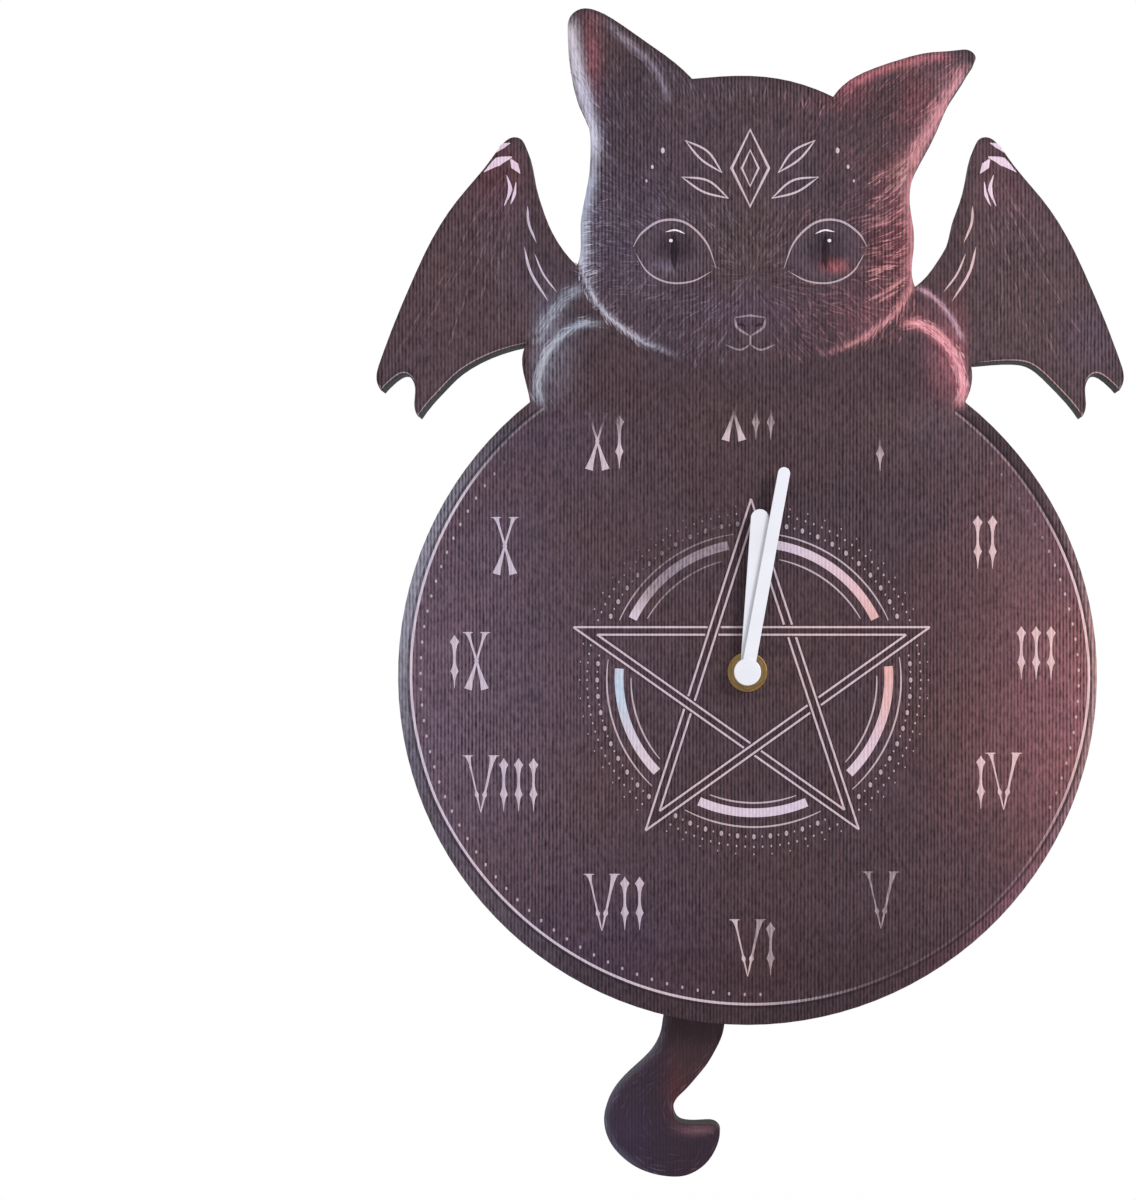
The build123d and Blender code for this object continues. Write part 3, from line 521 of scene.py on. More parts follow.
def outline_points(node):
    """The outer line of a flat node's front face, in order from its lowest point, as (x, z)."""
    shape = bmesh.new()
    shape.from_mesh(NODES[node].data)
    bmesh.ops.transform(shape, matrix=NODES[node].matrix_world, verts=shape.verts)
    bmesh.ops.remove_doubles(shape, verts=shape.verts, dist=MERGED)
    front = min(vertex.co.y for vertex in shape.verts) + 10 * MERGED
    faces = {face for face in shape.faces if all(vertex.co.y < front for vertex in face.verts)}
    links = {}
    for edge in shape.edges:
        first, second = edge.verts
        if sum(face in faces for face in edge.link_faces) == 1 and max(first.co.y, second.co.y) < front:
            links.setdefault(first, []).append(second)
            links.setdefault(second, []).append(first)
    loops = []
    left = set(links)
    while left:
        onward = [min(left, key=lambda vertex: (vertex.co.z, vertex.co.x))]
        loop = []
        while onward:
            loop.append(onward[0])
            left.discard(onward[0])
            onward = [vertex for vertex in links[loop[-1]] if vertex in left]
        loops.append([(vertex.co.x, vertex.co.z) for vertex in loop])
    shape.free()
    points = np.array(max(loops, key=len))
    following = np.roll(points, -1, axis=0)
    area = np.sum(points[:, 0] * following[:, 1] - following[:, 0] * points[:, 1])
    return points if area > 0 else points[::-1]


def from_spindle(points):
    """Places in the scene, as (x, z), in millimetres right of and above the spindle."""
    return (np.asarray(points) - (HUB_X, HUB_Z)) / MM


OUTLINE = outline_points("face_sheet")
TAIL_OUTLINE = outline_points("tail_sheet")
BOARD_EDGE = from_spindle(OUTLINE)
TAIL_EDGE = from_spindle(TAIL_OUTLINE)


def to_line(u, v, line, closed=False):
    """For each point the distance to a line, the outward direction there and the share along it."""
    line = np.asarray(line, float)
    start = line if closed else line[:-1]
    run = (np.roll(line, -1, axis=0) if closed else line[1:]) - start
    length = np.maximum(np.hypot(*run.T), 1e-9)
    gap, out_u, out_v, share = (np.empty(len(u)) for _ in range(4))
    at_once = 4000
    for low in range(0, len(u), at_once):
        part = slice(low, low + at_once)
        du = u[part, None] - start[:, 0]
        dv = v[part, None] - start[:, 1]
        along = np.clip((du * run[:, 0] + dv * run[:, 1]) / length ** 2, 0, 1)
        away = np.hypot(du - along * run[:, 0], dv - along * run[:, 1])
        best = np.argmin(away, axis=1)
        rows = np.arange(len(best))
        gap[part] = away[rows, best]
        out_u[part] = run[best, 1] / length[best]
        out_v[part] = -run[best, 0] / length[best]
        share[part] = (best + along[rows, best]) / len(run)
    return gap, out_u, out_v, share


def inside(u, v, outline):
    """Which points lie inside a closed line."""
    result = np.zeros(len(u), bool)
    outline = np.asarray(outline, float)
    for (u0, v0), (u1, v1) in zip(outline, np.roll(outline, -1, axis=0)):
        if v0 != v1:
            result ^= ((v0 > v) != (v1 > v)) & (u < u0 + (v - v0) * (u1 - u0) / (v1 - v0))
    return result


def mirrored(points):
    """Places seen in the cat's middle line."""
    return [(2 * MIDDLE - u, v) for u, v in points]


def bend(points, count=16):
    """A smooth line through a few points."""
    points = np.array(points, float)
    ends = np.vstack([2 * points[0] - points[1], points, 2 * points[-1] - points[-2]])
    spans = len(points) - 1
    result = []
    for share in np.linspace(0, spans, count):
        index = min(int(share), spans - 1)
        t = share - index
        a, b, c, d = ends[index:index + 4]
        result.append(tuple(0.5 * (2 * b + (c - a) * t + (2 * a - 5 * b + 4 * c - d) * t ** 2
                                   + (3 * b - a - 3 * c + d) * t ** 3)))
    return result


# The painting, in millimetres from the spindle

MIDDLE = 0.9
BORDER_MIDDLE = (1.2, 2.75)
EYE_OUT, EYE_UP = 26.0, 144.5
MARKS_UP = 173

# angle from the right, how far the border line runs outside its lowest radius
BORDER_WANDER = ((-157, 0.9), (-143, 0.5), (-121, 0.1), (-93, 0.0), (-51, 0.3), (-23, 0.2), (-9, -0.3),
                 (0, -0.9), (13, -2.3), (27, -4.0), (41, -5.1), (52, -5.7), (125, -4.2), (133, -3.5),
                 (147, -2.4), (161, -1.4), (175, -0.4), (189, 0.4))
# angle, how far the dots stand inside the line
DOTS_INSIDE = ((-143, 3.1), (-120, 3.4), (-30, 3.2), (0, 3.5), (14, 4.2), (41, 4.2), (133, 4.6), (161, 4.1),
               (175, 3.3))
DIAL_TOP = 84
WINGS_OUT = 76
# what the light adds to a dark colour, and how high the ink and the strokes' lowest layer lie
SHEEN = 0.009
INK_LIFT, STROKE_LIFT = 0.05, 0.01

# soft patches: centre, half widths, colour, strength
DIAL_PATCHES = (
    ((124, -14), (42, 60), (146, 98, 102), 0.8),
    ((112, 56), (34, 40), (116, 86, 92), 0.5),
    ((-120, -10), (60, 92), (110, 92, 108), 0.75),
    ((-48, -104), (40, 26), (84, 66, 84), 0.6),
    ((-66, 84), (26, 18), (88, 73, 88), 0.4),
    ((10, -104), (70, 16), (64, 49, 54), 0.6),
    ((70, 92), (26, 16), (100, 82, 88), 0.5),
)
HEAD_PATCHES = (
    ((-44, 150), (22, 40), (84, 72, 86), 0.7),
    ((58, 150), (14, 23), (130, 76, 84), 0.55),
    ((44, 122), (14, 11), (118, 78, 86), 0.55),
    ((0, 150), (12, 30), (84, 70, 72), 0.6),
    ((0, 124), (16, 9), (88, 72, 88), 0.6),
    ((-53.4, 211), (3.2, 15), (136, 84, 94), 0.8),
    ((-40, 196), (10, 26), (72, 60, 66), 0.6),
    ((57, 196), (6, 11), (122, 74, 82), 0.6),
    ((44, 196), (12, 9), (70, 58, 62), 0.6),
    ((34, 199), (9, 6), (122, 72, 82), 0.5),
    ((67, 204), (5, 6), (136, 98, 104), 0.5),
    ((53.5, 171), (4.5, 5.5), (178, 130, 132), 0.6),
)
LEG_PATCHES = (
    ((-69, 110), (8, 17), (126, 120, 134), 0.7),
    ((70, 108), (7.5, 16), (160, 100, 108), 0.65),
    ((60, 122), (9, 6), (110, 76, 84), 0.6),
    ((2, 102), (36, 10), (76, 62, 68), 0.6),
)
WING_PATCHES = (
    ((-92, 164), (16, 14), (96, 72, 80), 0.5),
    ((94, 164), (16, 14), (100, 74, 82), 0.5),
    ((118, 116), (10, 12), (88, 74, 92), 0.4),
    ((-112, 112), (16, 12), (86, 68, 74), 0.4),
    ((-86, 172), (8, 12), (92, 54, 62), 0.55),
    ((88, 172), (8, 12), (92, 60, 68), 0.4),
)

JAW = bend([(-58.4, 148), (-57.6, 140), (-54.6, 131), (-49.4, 123), (-42.6, 117.2), (-34.5, 112.2),
            (-22, 107.6), (-8, 105.4), (MIDDLE, 105)], 40)
JAW = JAW + mirrored(JAW[::-1])
HEAD_EDGE = JAW + [(61, 160), (66, 178), (84, 206), (88, 224), (30, 216), (-20, 216), (-50, 240),
                   (-72, 236), (-64, 200), (-56, 180), (-58, 160)]
RIGHT_FORELEG = bend([(51, 119.0), (57.5, 119.8), (62.5, 117.9), (66.6, 114.4), (70.0, 110.2), (72.3, 105.6),
                      (73.6, 100.4), (73.7, 95.0), (71.4, 90.4)], 44)
RIGHT_SHOULDER = bend([(57.5, 132.5), (63.0, 129.4), (67.6, 124.8), (71.2, 119.4), (74.6, 112.6)], 24)
LEFT_FORELEG, LEFT_SHOULDER = mirrored(RIGHT_FORELEG), mirrored(RIGHT_SHOULDER)
LEFT_RIM = bend([(-60.2, 226), (-60.0, 217), (-58.6, 208), (-56.4, 199), (-54.2, 190), (-52.8, 182),
                 (-52.8, 172)], 30)
LEFT_FOLD = bend([(-50.0, 224.5), (-43.4, 218.4), (-37.4, 213.2), (-32.4, 208), (-29.2, 202.4),
                  (-26.6, 194)], 26)
RIGHT_RIM = bend([(76.5, 209.5), (71.6, 201.6), (66.6, 193.4), (62.2, 185.6), (58, 178.4), (55.4, 172)], 30)
RIGHT_FOLD = bend([(30, 199.4), (38, 203), (46, 206.6), (54.6, 209.4), (64, 211), (72, 211)], 26)

# soft bands: line, half width, colour, strength, where
BANDS = (
    (LEFT_RIM, 2.3, (208, 202, 216), 0.9, "head"),
    (LEFT_FOLD, 1.3, (134, 122, 136), 0.7, "head"),
    (RIGHT_RIM, 2.6, (206, 146, 154), 0.75, "head"),
    (RIGHT_FOLD, 1.7, (166, 104, 114), 0.75, "head"),
    (JAW[:30], 1.2, (206, 202, 218), 0.8, "head"),
    (JAW[50:], 1.4, (222, 156, 162), 0.75, "head"),
    (LEFT_FORELEG, 1.4, (168, 174, 186), 0.75, "legs"),
    (RIGHT_FORELEG, 1.6, (240, 158, 166), 0.85, "legs"),
    (LEFT_SHOULDER, 2.2, (124, 126, 138), 0.75, "legs"),
    (RIGHT_SHOULDER, 0.8, (196, 156, 172), 0.7, "legs"),
)


def layered(colour, layers):
    """Mix colours over one another, each by its share."""
    for shade, share in layers:
        colour = mix(colour, tone(*shade), share)
    return colour


def patched(colour, u, v, rows, share):
    """Add soft patches of colour, where share lets them."""
    return layered(colour, ((shade, strength * share * blob(u, v, *centre, *half))
                            for centre, half, shade, strength in rows))


def head_share(u, v):
    """1 on the head, 0 off it, with a soft step at the jaw."""
    gap = to_line(u, v, HEAD_EDGE, True)[0]
    return smooth(np.where(inside(u, v, HEAD_EDGE), gap, -gap), -0.5, 0.7)


def border_reach(angle, settings):
    """The border line's radius at an angle."""
    return settings.border_radius / MM + np.interp(angle, *np.transpose(BORDER_WANDER), period=360)


def board_paint(u, v, settings):
    """The board's soft painting: the dial, the forelegs, the wings and the head over them."""
    depth, out_u, out_v, _ = to_line(u, v, BOARD_EDGE, True)
    head = head_share(u, v)
    dial = 1 - smooth(v, DIAL_TOP, 98)
    wing = smooth(np.abs(u - MIDDLE), WINGS_OUT - 3, WINGS_OUT + 2) * smooth(v, DIAL_TOP, 92) * (1 - head)
    legs = (1 - head) * (1 - dial) * (1 - wing)
    colour = patched(flat(settings.base, len(u)), u, v, DIAL_PATCHES, dial)
    angle = angle_from(BORDER_MIDDLE, u, v)
    beyond = np.hypot(u - BORDER_MIDDLE[0], v - BORDER_MIDDLE[1]) - border_reach(angle, settings)
    rim = layered(flat(tone(66, 53, 58), len(u)), (
        ((140, 138, 152), bell(angle % 360 - 172, 27)),
        ((94, 84, 96), 0.8 * bell(angle % 360 - 214, 24)),
        ((122, 86, 96), 0.85 * bell(angle + 36, 18)),
        ((168, 133, 133), bell(angle + 3, 22) * smooth(2.4 - depth, -1.6, 1.6))))
    colour = mix(colour, rim, smooth(beyond, -0.5, 0.5) * (1 - smooth(v, DIAL_TOP, 96)))
    colour = patched(colour, u, v, LEG_PATCHES, legs)
    colour = layered(colour, [((86, 70, 75), wing * 0.8)])
    colour = patched(colour, u, v, WING_PATCHES, wing)
    colour = layered(colour, (((62, 50, 54), 0.5 * wing * bell(depth, 1.6)), ((80, 65, 71), head * 0.9)))
    colour = patched(colour, u, v, HEAD_PATCHES, head)
    cheek = head * window(v, (128, 140), (168, 180))
    colour = layered(colour, (
        ((56, 46, 50), 0.6 * bell(depth, 1.0) * head * smooth(out_v, 0.3, 0.8)),
        ((186, 188, 202), 0.8 * cheek * smooth(-out_u, 0.5, 0.9) * bell(depth - 0.9, 2.0) * (u < 0)),
        ((214, 150, 158), 0.6 * cheek * smooth(out_u, 0.5, 0.9) * bell(depth, 2.2) * (u > 0))))
    where = {"head": head, "legs": (1 - head) * (1 - smooth(91 - v, 0, 6))}
    for line, half_width, shade, strength, place in BANDS:
        gap, _, _, share = to_line(u, v, line)
        ends = np.clip(np.minimum(share, 1 - share) * 7, 0, 1)
        colour = mix(colour, tone(*shade), strength * ends * where[place] * bell(gap, half_width))
    for side, glow in ((-1, (116, 104, 122)), (1, (166, 94, 98))):
        aside, up = u - MIDDLE - side * EYE_OUT, v - EYE_UP
        colour = layered(colour, (
            ((84, 71, 79), 0.8 * head * (1 - smooth(np.hypot(aside / 13.2, up / 10.2), 0.86, 1.04))),
            ((48, 39, 45), 0.6 * head * (1 - smooth(np.hypot(aside, up - 0.6), 4.5, 8.2))),
            (glow, 0.7 * head * blob(aside * side, up, 3.4, -5.2, 4.6, 2.2))))
    return colour


def tail_paint(u, v, _settings):
    """The tail's dark painting, with a thin painted cool highlight on its left edge and a painted pink
    highlight just inside the hook's top edge.
    """
    depth, out_u, out_v, _ = to_line(u, v, TAIL_EDGE, True)
    # curl marks where the painted pink highlight lies, just inside the top edge of the tail's hook
    curl = smooth(out_v, 0.2, 0.8) * blob(u, v, -17, -161, 8, 5)
    return layered(flat(tone(58, 47, 57), len(u)), (
        ((68, 52, 54), 0.7 * smooth(u, -36, -18) * smooth(v, -166, -150)),
        ((66, 56, 76), 0.5 * blob(u, v, -42, -158, 9, 16)),
        ((92, 54, 58), 0.5 * blob(u, v, -25.5, -146, 3.4, 10)),
        # painted cool highlight along the left edge
        ((104, 100, 114), 0.6 * smooth(-out_u, 0.2, 0.8) * bell(depth, 1.6)),
        ((132, 100, 110), 0.6 * curl * bell(depth - 2.2, 1.6))))


def set_paint(piece, colours):
    """Store a colour for each point of a piece, less the sheen that the light adds."""
    paint = piece.data.attributes.new("paint", "FLOAT_COLOR", "POINT")
    values = np.ones((len(piece.data.vertices), 4), np.float32)
    values[:, :3] = np.maximum(colours - SHEEN, 0.002)
    paint.data.foreach_set("color", values.ravel())


def points_of(piece):
    """A piece's points as an array."""
    values = np.empty(len(piece.data.vertices) * 3)
    piece.data.vertices.foreach_get("co", values)
    return values.reshape(-1, 3)


def places_of(piece):
    """A piece's points, right of and above the spindle, in millimetres."""
    return from_spindle(points_of(piece)[:, (0, 2)]).T


# what carries the print on each body: its front, its edge, its painting and its finish
SHEETS = {"root": (FACE_Y, BOARD_EDGE, board_paint, PRINT),
          "tail": (TAIL_Y, TAIL_EDGE, tail_paint, TAIL_PRINT)}


def printed_sheet(node, name, outline, settings, hole=0.0):
    """A thin closed sheet in the node's place, its front cut into a fine grid that carries the paint."""
    front, _, painting, finish = SHEETS[BODIES[node]]
    step = settings.grid_step
    shape = bmesh.new()
    shape.faces.new([shape.verts.new((x, front, z)) for x, z in outline])
    for low, high, normal in zip(outline.min(axis=0), outline.max(axis=0), ((1, 0, 0), (0, 0, 1))):
        for index in range(math.ceil(low / step), math.floor(high / step) + 1):
            place = [index * step * part for part in normal]
            bmesh.ops.bisect_plane(shape, geom=shape.verts[:] + shape.edges[:] + shape.faces[:],
                                   dist=1e-8, plane_co=place, plane_no=normal)
    if hole:
        middle = Vector((HUB_X, front, HUB_Z))
        under = [face for face in shape.faces if (face.calc_center_median() - middle).length < hole]
        bmesh.ops.delete(shape, geom=under, context="FACES")
    sides = bmesh.ops.extrude_edge_only(shape, edges=[edge for edge in shape.edges if edge.is_boundary])
    moved = [item for item in sides["geom"] if isinstance(item, bmesh.types.BMVert)]
    bmesh.ops.translate(shape, verts=moved, vec=(0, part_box(node)[1][1] - front, 0))
    bmesh.ops.holes_fill(shape, edges=[edge for edge in shape.edges if edge.is_boundary], sides=0)
    bmesh.ops.recalc_face_normals(shape, faces=shape.faces)
    mesh = bpy.data.meshes.new("sheet")
    shape.to_mesh(mesh)
    shape.free()
    piece = add_object("sheet", mesh)
    set_paint(piece, painting(*places_of(piece), settings))
    settle(piece, name, bpy.data.materials[finish], BODIES[node])
    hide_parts(node)


# Drawn lines and brush strokes

def ink_colour(u, v, settings, fade=1.0, shade=None):
    """The pale ink, cooler on the left and pinker on the right, faded into the ground below it."""
    if shade is None:
        ink = layered(flat(settings.ink, len(u)), (((236, 200, 200), smooth(u, 20, 110)),
                                                   ((216, 204, 222), smooth(-u, 10, 110) * 0.7)))
    else:
        ink = shade(u, v) if callable(shade) else flat(tone(*shade), len(u))
    share = fade(u, v) if callable(fade) else np.full(len(u), fade)
    return mix(board_paint(u, v, settings), ink, np.clip(share, 0, 1))


def drawn_lines(name, lines, settings, fade=1.0, flatness=0.3, shade=None):
    """Lines of ink: curves with a round section, made mesh and pressed flat on the sheet.

    Each line gives its points and half widths, and a third value that is true where it closes.
    """
    deselect()
    bpy.ops.curve.primitive_bezier_curve_add(location=(0, 0, 0))
    curve = bpy.context.object.data
    curve.splines.clear()
    curve.dimensions = "3D"
    curve.bevel_depth = MM
    curve.bevel_resolution = 1
    curve.use_fill_caps = True
    for points, radii, *closed in lines:
        spline = curve.splines.new("POLY")
        spline.points.add(len(points) - 1)
        places = [(HUB_X + u * MM, FACE_Y, HUB_Z + v * MM, 1) for u, v in points]
        spline.points.foreach_set("co", np.array(places).ravel())
        spline.points.foreach_set("radius", np.broadcast_to(np.array(radii, float), len(points)).copy())
        spline.use_cyclic_u = bool(closed)
    bpy.ops.object.convert(target="MESH")
    piece = bpy.context.object
    places = points_of(piece)
    places[:, 1] = FACE_Y - INK_LIFT * MM + (places[:, 1] - FACE_Y) * flatness
    piece.data.vertices.foreach_set("co", places.ravel())
    set_paint(piece, ink_colour(*places_of(piece), settings, fade, shade))
    bpy.ops.object.shade_smooth_by_angle(angle=INK_SHARP)
    settle(piece, name, bpy.data.materials[PRINT], "root")


def dot(u, v, size):
    """A small round dot as a very short line."""
    return [(u - size / 2, v), (u, v), (u + size / 2, v)], [size / 2, size, size / 2]


def taper(count, thick, start=0.15, stop=0.15):
    """Radii that swell from a thin start to the middle and thin out again."""
    share = np.linspace(0, 1, count)
    rise, fall = (np.sin(np.pi * np.clip(part * 1.6, 0, 0.5)) for part in (share, 1 - share))
    return thick * np.minimum(start + (1 - start) * rise, stop + (1 - stop) * fall)


def swelling(points, count, *thick):
    """A smooth line through a few points, with a taper."""
    return bend(points, count), taper(count, *thick)


def one_stroke():
    """The brush stroke that is copied: a low ridge, one long, from -0.5 to 0.5 along X."""
    deselect()
    bpy.ops.mesh.primitive_grid_add(x_subdivisions=4, y_subdivisions=2, size=1)
    piece = bpy.context.object
    places = 2 * points_of(piece)
    share = 1 - places[:, 0] ** 2
    ridge = 1 - places[:, 1] ** 2
    faces = [tuple(polygon.vertices) for polygon in piece.data.polygons]
    bpy.data.objects.remove(piece, do_unlink=True)
    return (places[:, 0] / 2, places[:, 1] * (0.08 + 0.92 * share), ridge * share), faces


# the layers of strokes that lie over one another, their heights' range, and a stroke's own height
LAYERS, STROKE_SPREAD, STROKE_RIDGE = 40, 0.05, 0.03
# how much of a stroke has to stay inside the edge, and its middle's distance from it
STROKE_REACH, EDGE_CLEAR = 0.52, 0.4


def brush_strokes(name, rows, settings, body="root"):
    """Copies of the stroke, each with its own colour on its ridge and the ground's at its sides.

    Each row gives a place, a direction, a length, a width, a bend, a colour and a strength.
    """
    front, edge, painting, finish = SHEETS[body]
    columns = [np.concatenate(column) for column in zip(*rows)]
    places, directions, lengths = columns[:3]
    reach = np.column_stack([np.cos(directions), np.sin(directions)]) * lengths[:, None] * STROKE_REACH
    keep = to_line(*places.T, edge, True)[0] > EDGE_CLEAR
    for share in (-1, -0.5, 0, 0.5, 1):
        keep &= inside(*(places + reach * share).T, edge)
    places, directions, lengths, widths, bends, colours, strengths = (column[keep] for column in columns)
    (along, across, height), faces = one_stroke()
    count, size = len(places), len(along)
    direction, length, curl = (column[:, None] for column in (directions, lengths, bends))
    turn, middle = direction + curl * along, direction + curl * along / 2
    half = widths[:, None] / 2 * across
    u = (places[:, :1] + length * along * np.cos(middle) - half * np.sin(turn)).ravel()
    v = (places[:, 1:] + length * along * np.sin(middle) + half * np.cos(turn)).ravel()
    layer = (np.arange(count) % LAYERS)[:, None] / LAYERS
    lift = (STROKE_LIFT + STROKE_SPREAD * layer + STROKE_RIDGE * height).ravel()
    points = np.column_stack([HUB_X + u * MM, front - lift * MM, HUB_Z + v * MM])
    all_faces = (np.array(faces)[None] + size * np.arange(count)[:, None, None]).reshape(-1, len(faces[0]))
    mesh = bpy.data.meshes.new(name)
    mesh.from_pydata(points.tolist(), [], all_faces.tolist())
    mesh.update()
    if mesh.polygons[0].normal.y > 0:
        mesh.flip_normals()
    piece = add_object(name, mesh)
    set_paint(piece, mix(painting(u, v, settings), np.repeat(colours, size, axis=0),
                         (strengths[:, None] * height).ravel()))
    mesh.polygons.foreach_set("use_smooth", [True] * len(mesh.polygons))
    settle(piece, name, bpy.data.materials[finish], body)


def scattered(chance, count, edge, pick):
    """Places spread at random inside an edge, where pick lets them."""
    edge = np.asarray(edge)
    places = np.empty((0, 2))
    while len(places) < count:
        tries = chance.uniform(edge.min(axis=0), edge.max(axis=0), (count * 3, 2))
        tries = tries[inside(*tries.T, edge)]
        places = np.vstack([places, tries[pick(*tries.T)]])
    return places[:count]


def along_line(chance, count, line, spread, lengths, widths, colour, strength, lean=0.0, turn=0.12):
    """Strokes laid along a line, fading towards its ends. Lean turns them out of the line."""
    line = np.array(line)
    index = chance.integers(0, len(line) - 1, count)
    run = line[index + 1] - line[index]
    along = chance.random(count)
    share = (index + along) / (len(line) - 1)
    ends = np.clip(np.minimum(share * 6, (1 - share) * 6), 0.1, 1)
    return (line[index] + run * along[:, None] + chance.normal(0, spread, (count, 2)),
            np.arctan2(run[:, 1], run[:, 0]) + lean + chance.normal(0, turn, count),
            chance.uniform(*lengths, count), chance.uniform(*widths, count), chance.normal(0, 0.2, count),
            flat(tone(*colour), count), strength * ends * chance.uniform(0.35, 1.1, count))


# Numerals

# share from the top, half width in millimetres
STEM = ((0.0, 0.12), (0.05, 0.6), (0.12, 1.65), (0.19, 0.9), (0.30, 0.5), (0.42, 0.4), (0.54, 0.5),
        (0.61, 0.85), (0.68, 1.4), (0.75, 0.7), (0.86, 0.3), (1.0, 0.08))
LEFT_LEG = ((0.0, 1.3), (0.05, 0.8), (0.13, 0.44), (0.30, 0.3), (0.62, 0.3), (0.69, 0.85), (0.745, 0.32),
            (0.9, 0.28), (1.0, 0.12))
RIGHT_LEG = ((0.0, 1.5), (0.05, 1.15), (0.14, 0.78), (0.30, 0.5), (0.62, 0.42), (0.69, 1.0), (0.745, 0.4),
             (0.9, 0.3), (1.0, 0.12))
CROSS = ((0.0, 1.2), (0.05, 0.75), (0.14, 0.45), (0.36, 0.4), (0.47, 0.45), (0.5, 0.9), (0.53, 0.45),
         (0.66, 0.55), (0.86, 1.0), (0.95, 1.4), (1.0, 1.6))
# width, strokes (place at the top, below it, place at the bottom, above it, profile), serifs
LETTERS = {
    "I": (5.1, ((0, 0.9, 0, 0.4, STEM),), ()),
    "V": (10.6, ((-4.4, 0, 0, 0, LEFT_LEG), (4.2, 0, 0, 0, RIGHT_LEG)), ((-6.3, -2.7), (2.5, 6.3))),
    "X": (10.0, ((-2.9, 0, 2.9, 0, CROSS), (2.9, 0, -2.9, 0, CROSS)), ((-4.7, -1.3), (1.3, 4.7))),
}
NUMERALS = (("I", 45.5, 78.4), ("II", 81.6, 44.8), ("III", 99.1, 6.8), ("IV", 85.4, -37.6),
            ("V", 45.8, -78.4), ("VI", 2.6, -94.8), ("VII", -44.9, -79.2), ("VIII", -83.9, -38.5),
            ("IX", -95.6, 3.8), ("X", -83.3, 43.3), ("XI", -49.0, 79.2), ("XII", 0.4, 89.2))


def numeral_strokes(letters, centre_u, centre_v, height):
    """The strokes of a Roman numeral, set upright round its centre."""
    left = centre_u - sum(LETTERS[letter][0] for letter in letters) / 2
    top, bottom = centre_v + height / 2, centre_v - height / 2
    lines = []
    for letter in letters:
        width, strokes, serifs = LETTERS[letter]
        middle = left + width / 2
        for start_u, below, stop_u, above, profile in strokes:
            start = np.array((middle + start_u, top - below))
            run = np.array((middle + stop_u, bottom + above)) - start
            shares, halves = zip(*profile)
            lines.append(([tuple(start + run * share) for share in shares], halves))
        for start_u, stop_u in serifs:
            lines.append(([(middle + start_u, top), (middle + (start_u + stop_u) / 2, top - 0.1),
                           (middle + stop_u, top)], [0.12, 0.36, 0.12]))
        left += width
    return lines


# The star and its ring

PASSING_GAP = 0.9
STAR_TIPS = np.array([(1.2, 59.4), (-35.0, -54.4), (62.6, 15.4), (-59.8, 15.4), (38.2, -54.0)])
RING_MIDDLE = (2.2, -2.75)


def star_line(index, inset):
    """One straight line of the star, moved inwards: a point and the direction along it."""
    start, stop = STAR_TIPS[index % 5], STAR_TIPS[(index + 1) % 5]
    along = (stop - start) / np.linalg.norm(stop - start)
    return start + np.array((-along[1], along[0])) * inset, along


def meeting(first, second):
    """How far along the first line it meets the second."""
    (start, along), (other, aside) = first, second
    return float(np.linalg.solve(np.column_stack([along, -aside]), other - start)[0])


def part_of(line, *reaches):
    """The points of a line at some distances along it."""
    return [tuple(line[0] + line[1] * reach) for reach in reaches]


def off_star(u, v):
    """Distance outside the star's arms: more than 0 only between them."""
    signed = []
    for index in range(5):
        (start_u, start_v), (along_u, along_v) = star_line(index, 0)
        signed.append((u - start_u) * along_v - (v - start_v) * along_u)
    return np.sort(np.array(signed), axis=0)[-2]


def broken_arcs(radius, clear, lift=0.0):
    """The arcs of a circle round the ring's middle that stay clear of the star's arms."""
    u, v = around((RING_MIDDLE[0], RING_MIDDLE[1] + lift), radius, np.arange(0, 720, 1.0))
    free = off_star(u, v) > clear
    starts = np.flatnonzero(~free[:-1] & free[1:]) + 1
    return [list(zip(u, v))[start:start + np.argmax(~free[start:])] for start in starts[starts < 361]]


# The wings' lit lower edges: painted highlights, which also stand for the sheet's pale cut edge

FACING_DOWN, LIT_EDGE_IN = 0.35, 0.5


def wing_hems():
    """Thin pale lines just inside the wings' lower edges: a painted highlight of the lit cut edge, which also
    stands for the sheet's pale cut edge.
    """
    run = np.roll(BOARD_EDGE, -1, axis=0) - np.roll(BOARD_EDGE, 1, axis=0)
    out = np.column_stack([run[:, 1], -run[:, 0]]) / np.hypot(*run.T)[:, None]
    u, v = BOARD_EDGE.T
    under = np.flatnonzero((out[:, 1] < -FACING_DOWN) & (np.abs(u - MIDDLE) > WINGS_OUT) & (v > DIAL_TOP))
    edge_runs = np.split(under, np.flatnonzero(np.diff(under) > 1) + 1)
    return [((BOARD_EDGE[edge_run] - LIT_EDGE_IN * out[edge_run]).tolist(), taper(len(edge_run), 0.22, 0.2, 0.2))
            for edge_run in edge_runs if len(edge_run) > 4]


# Operators

class CLOCK_OT_finishes(bpy.types.Operator):
    """Make the finishes and give them to the CAD pieces"""
    bl_idname = "clock.finishes"
    bl_label = "Finishes"

    def execute(self, context):
        settings = context.scene.clock_print
        printed_canvas(PRINT, settings, 0.58, 0.6)
        printed_canvas(TAIL_PRINT, settings, 0.12, 0.42)
        by_slot = hardware_materials(context.scene.clock_hardware)
        by_slot["printed_canvas"] = bpy.data.materials[PRINT]
        motor_wire = wound_wire("motor winding", (0, math.pi / 2, 0), 0.0002)
        for name, node in NODES.items():
            material = motor_wire if name == "motor_winding" else by_slot[SLOTS[name]]
            for index in range(len(node.data.materials)):
                node.data.materials[index] = material
        return {"FINISHED"}


SPINDLE_HOLE = 0.0046


class CLOCK_OT_board(bpy.types.Operator):
    """The cut-out board with its printed sheet"""
    bl_idname = "clock.board"
    bl_label = "Board and printed sheet"

    def execute(self, context):
        soften([("front_board", "cutout_board", context.scene.clock_hardware.board_bevel, 2)])
        printed_sheet("face_sheet", "printed_face", OUTLINE, context.scene.clock_print, SPINDLE_HOLE)
        return {"FINISHED"}


TAIL_STROKES = 420


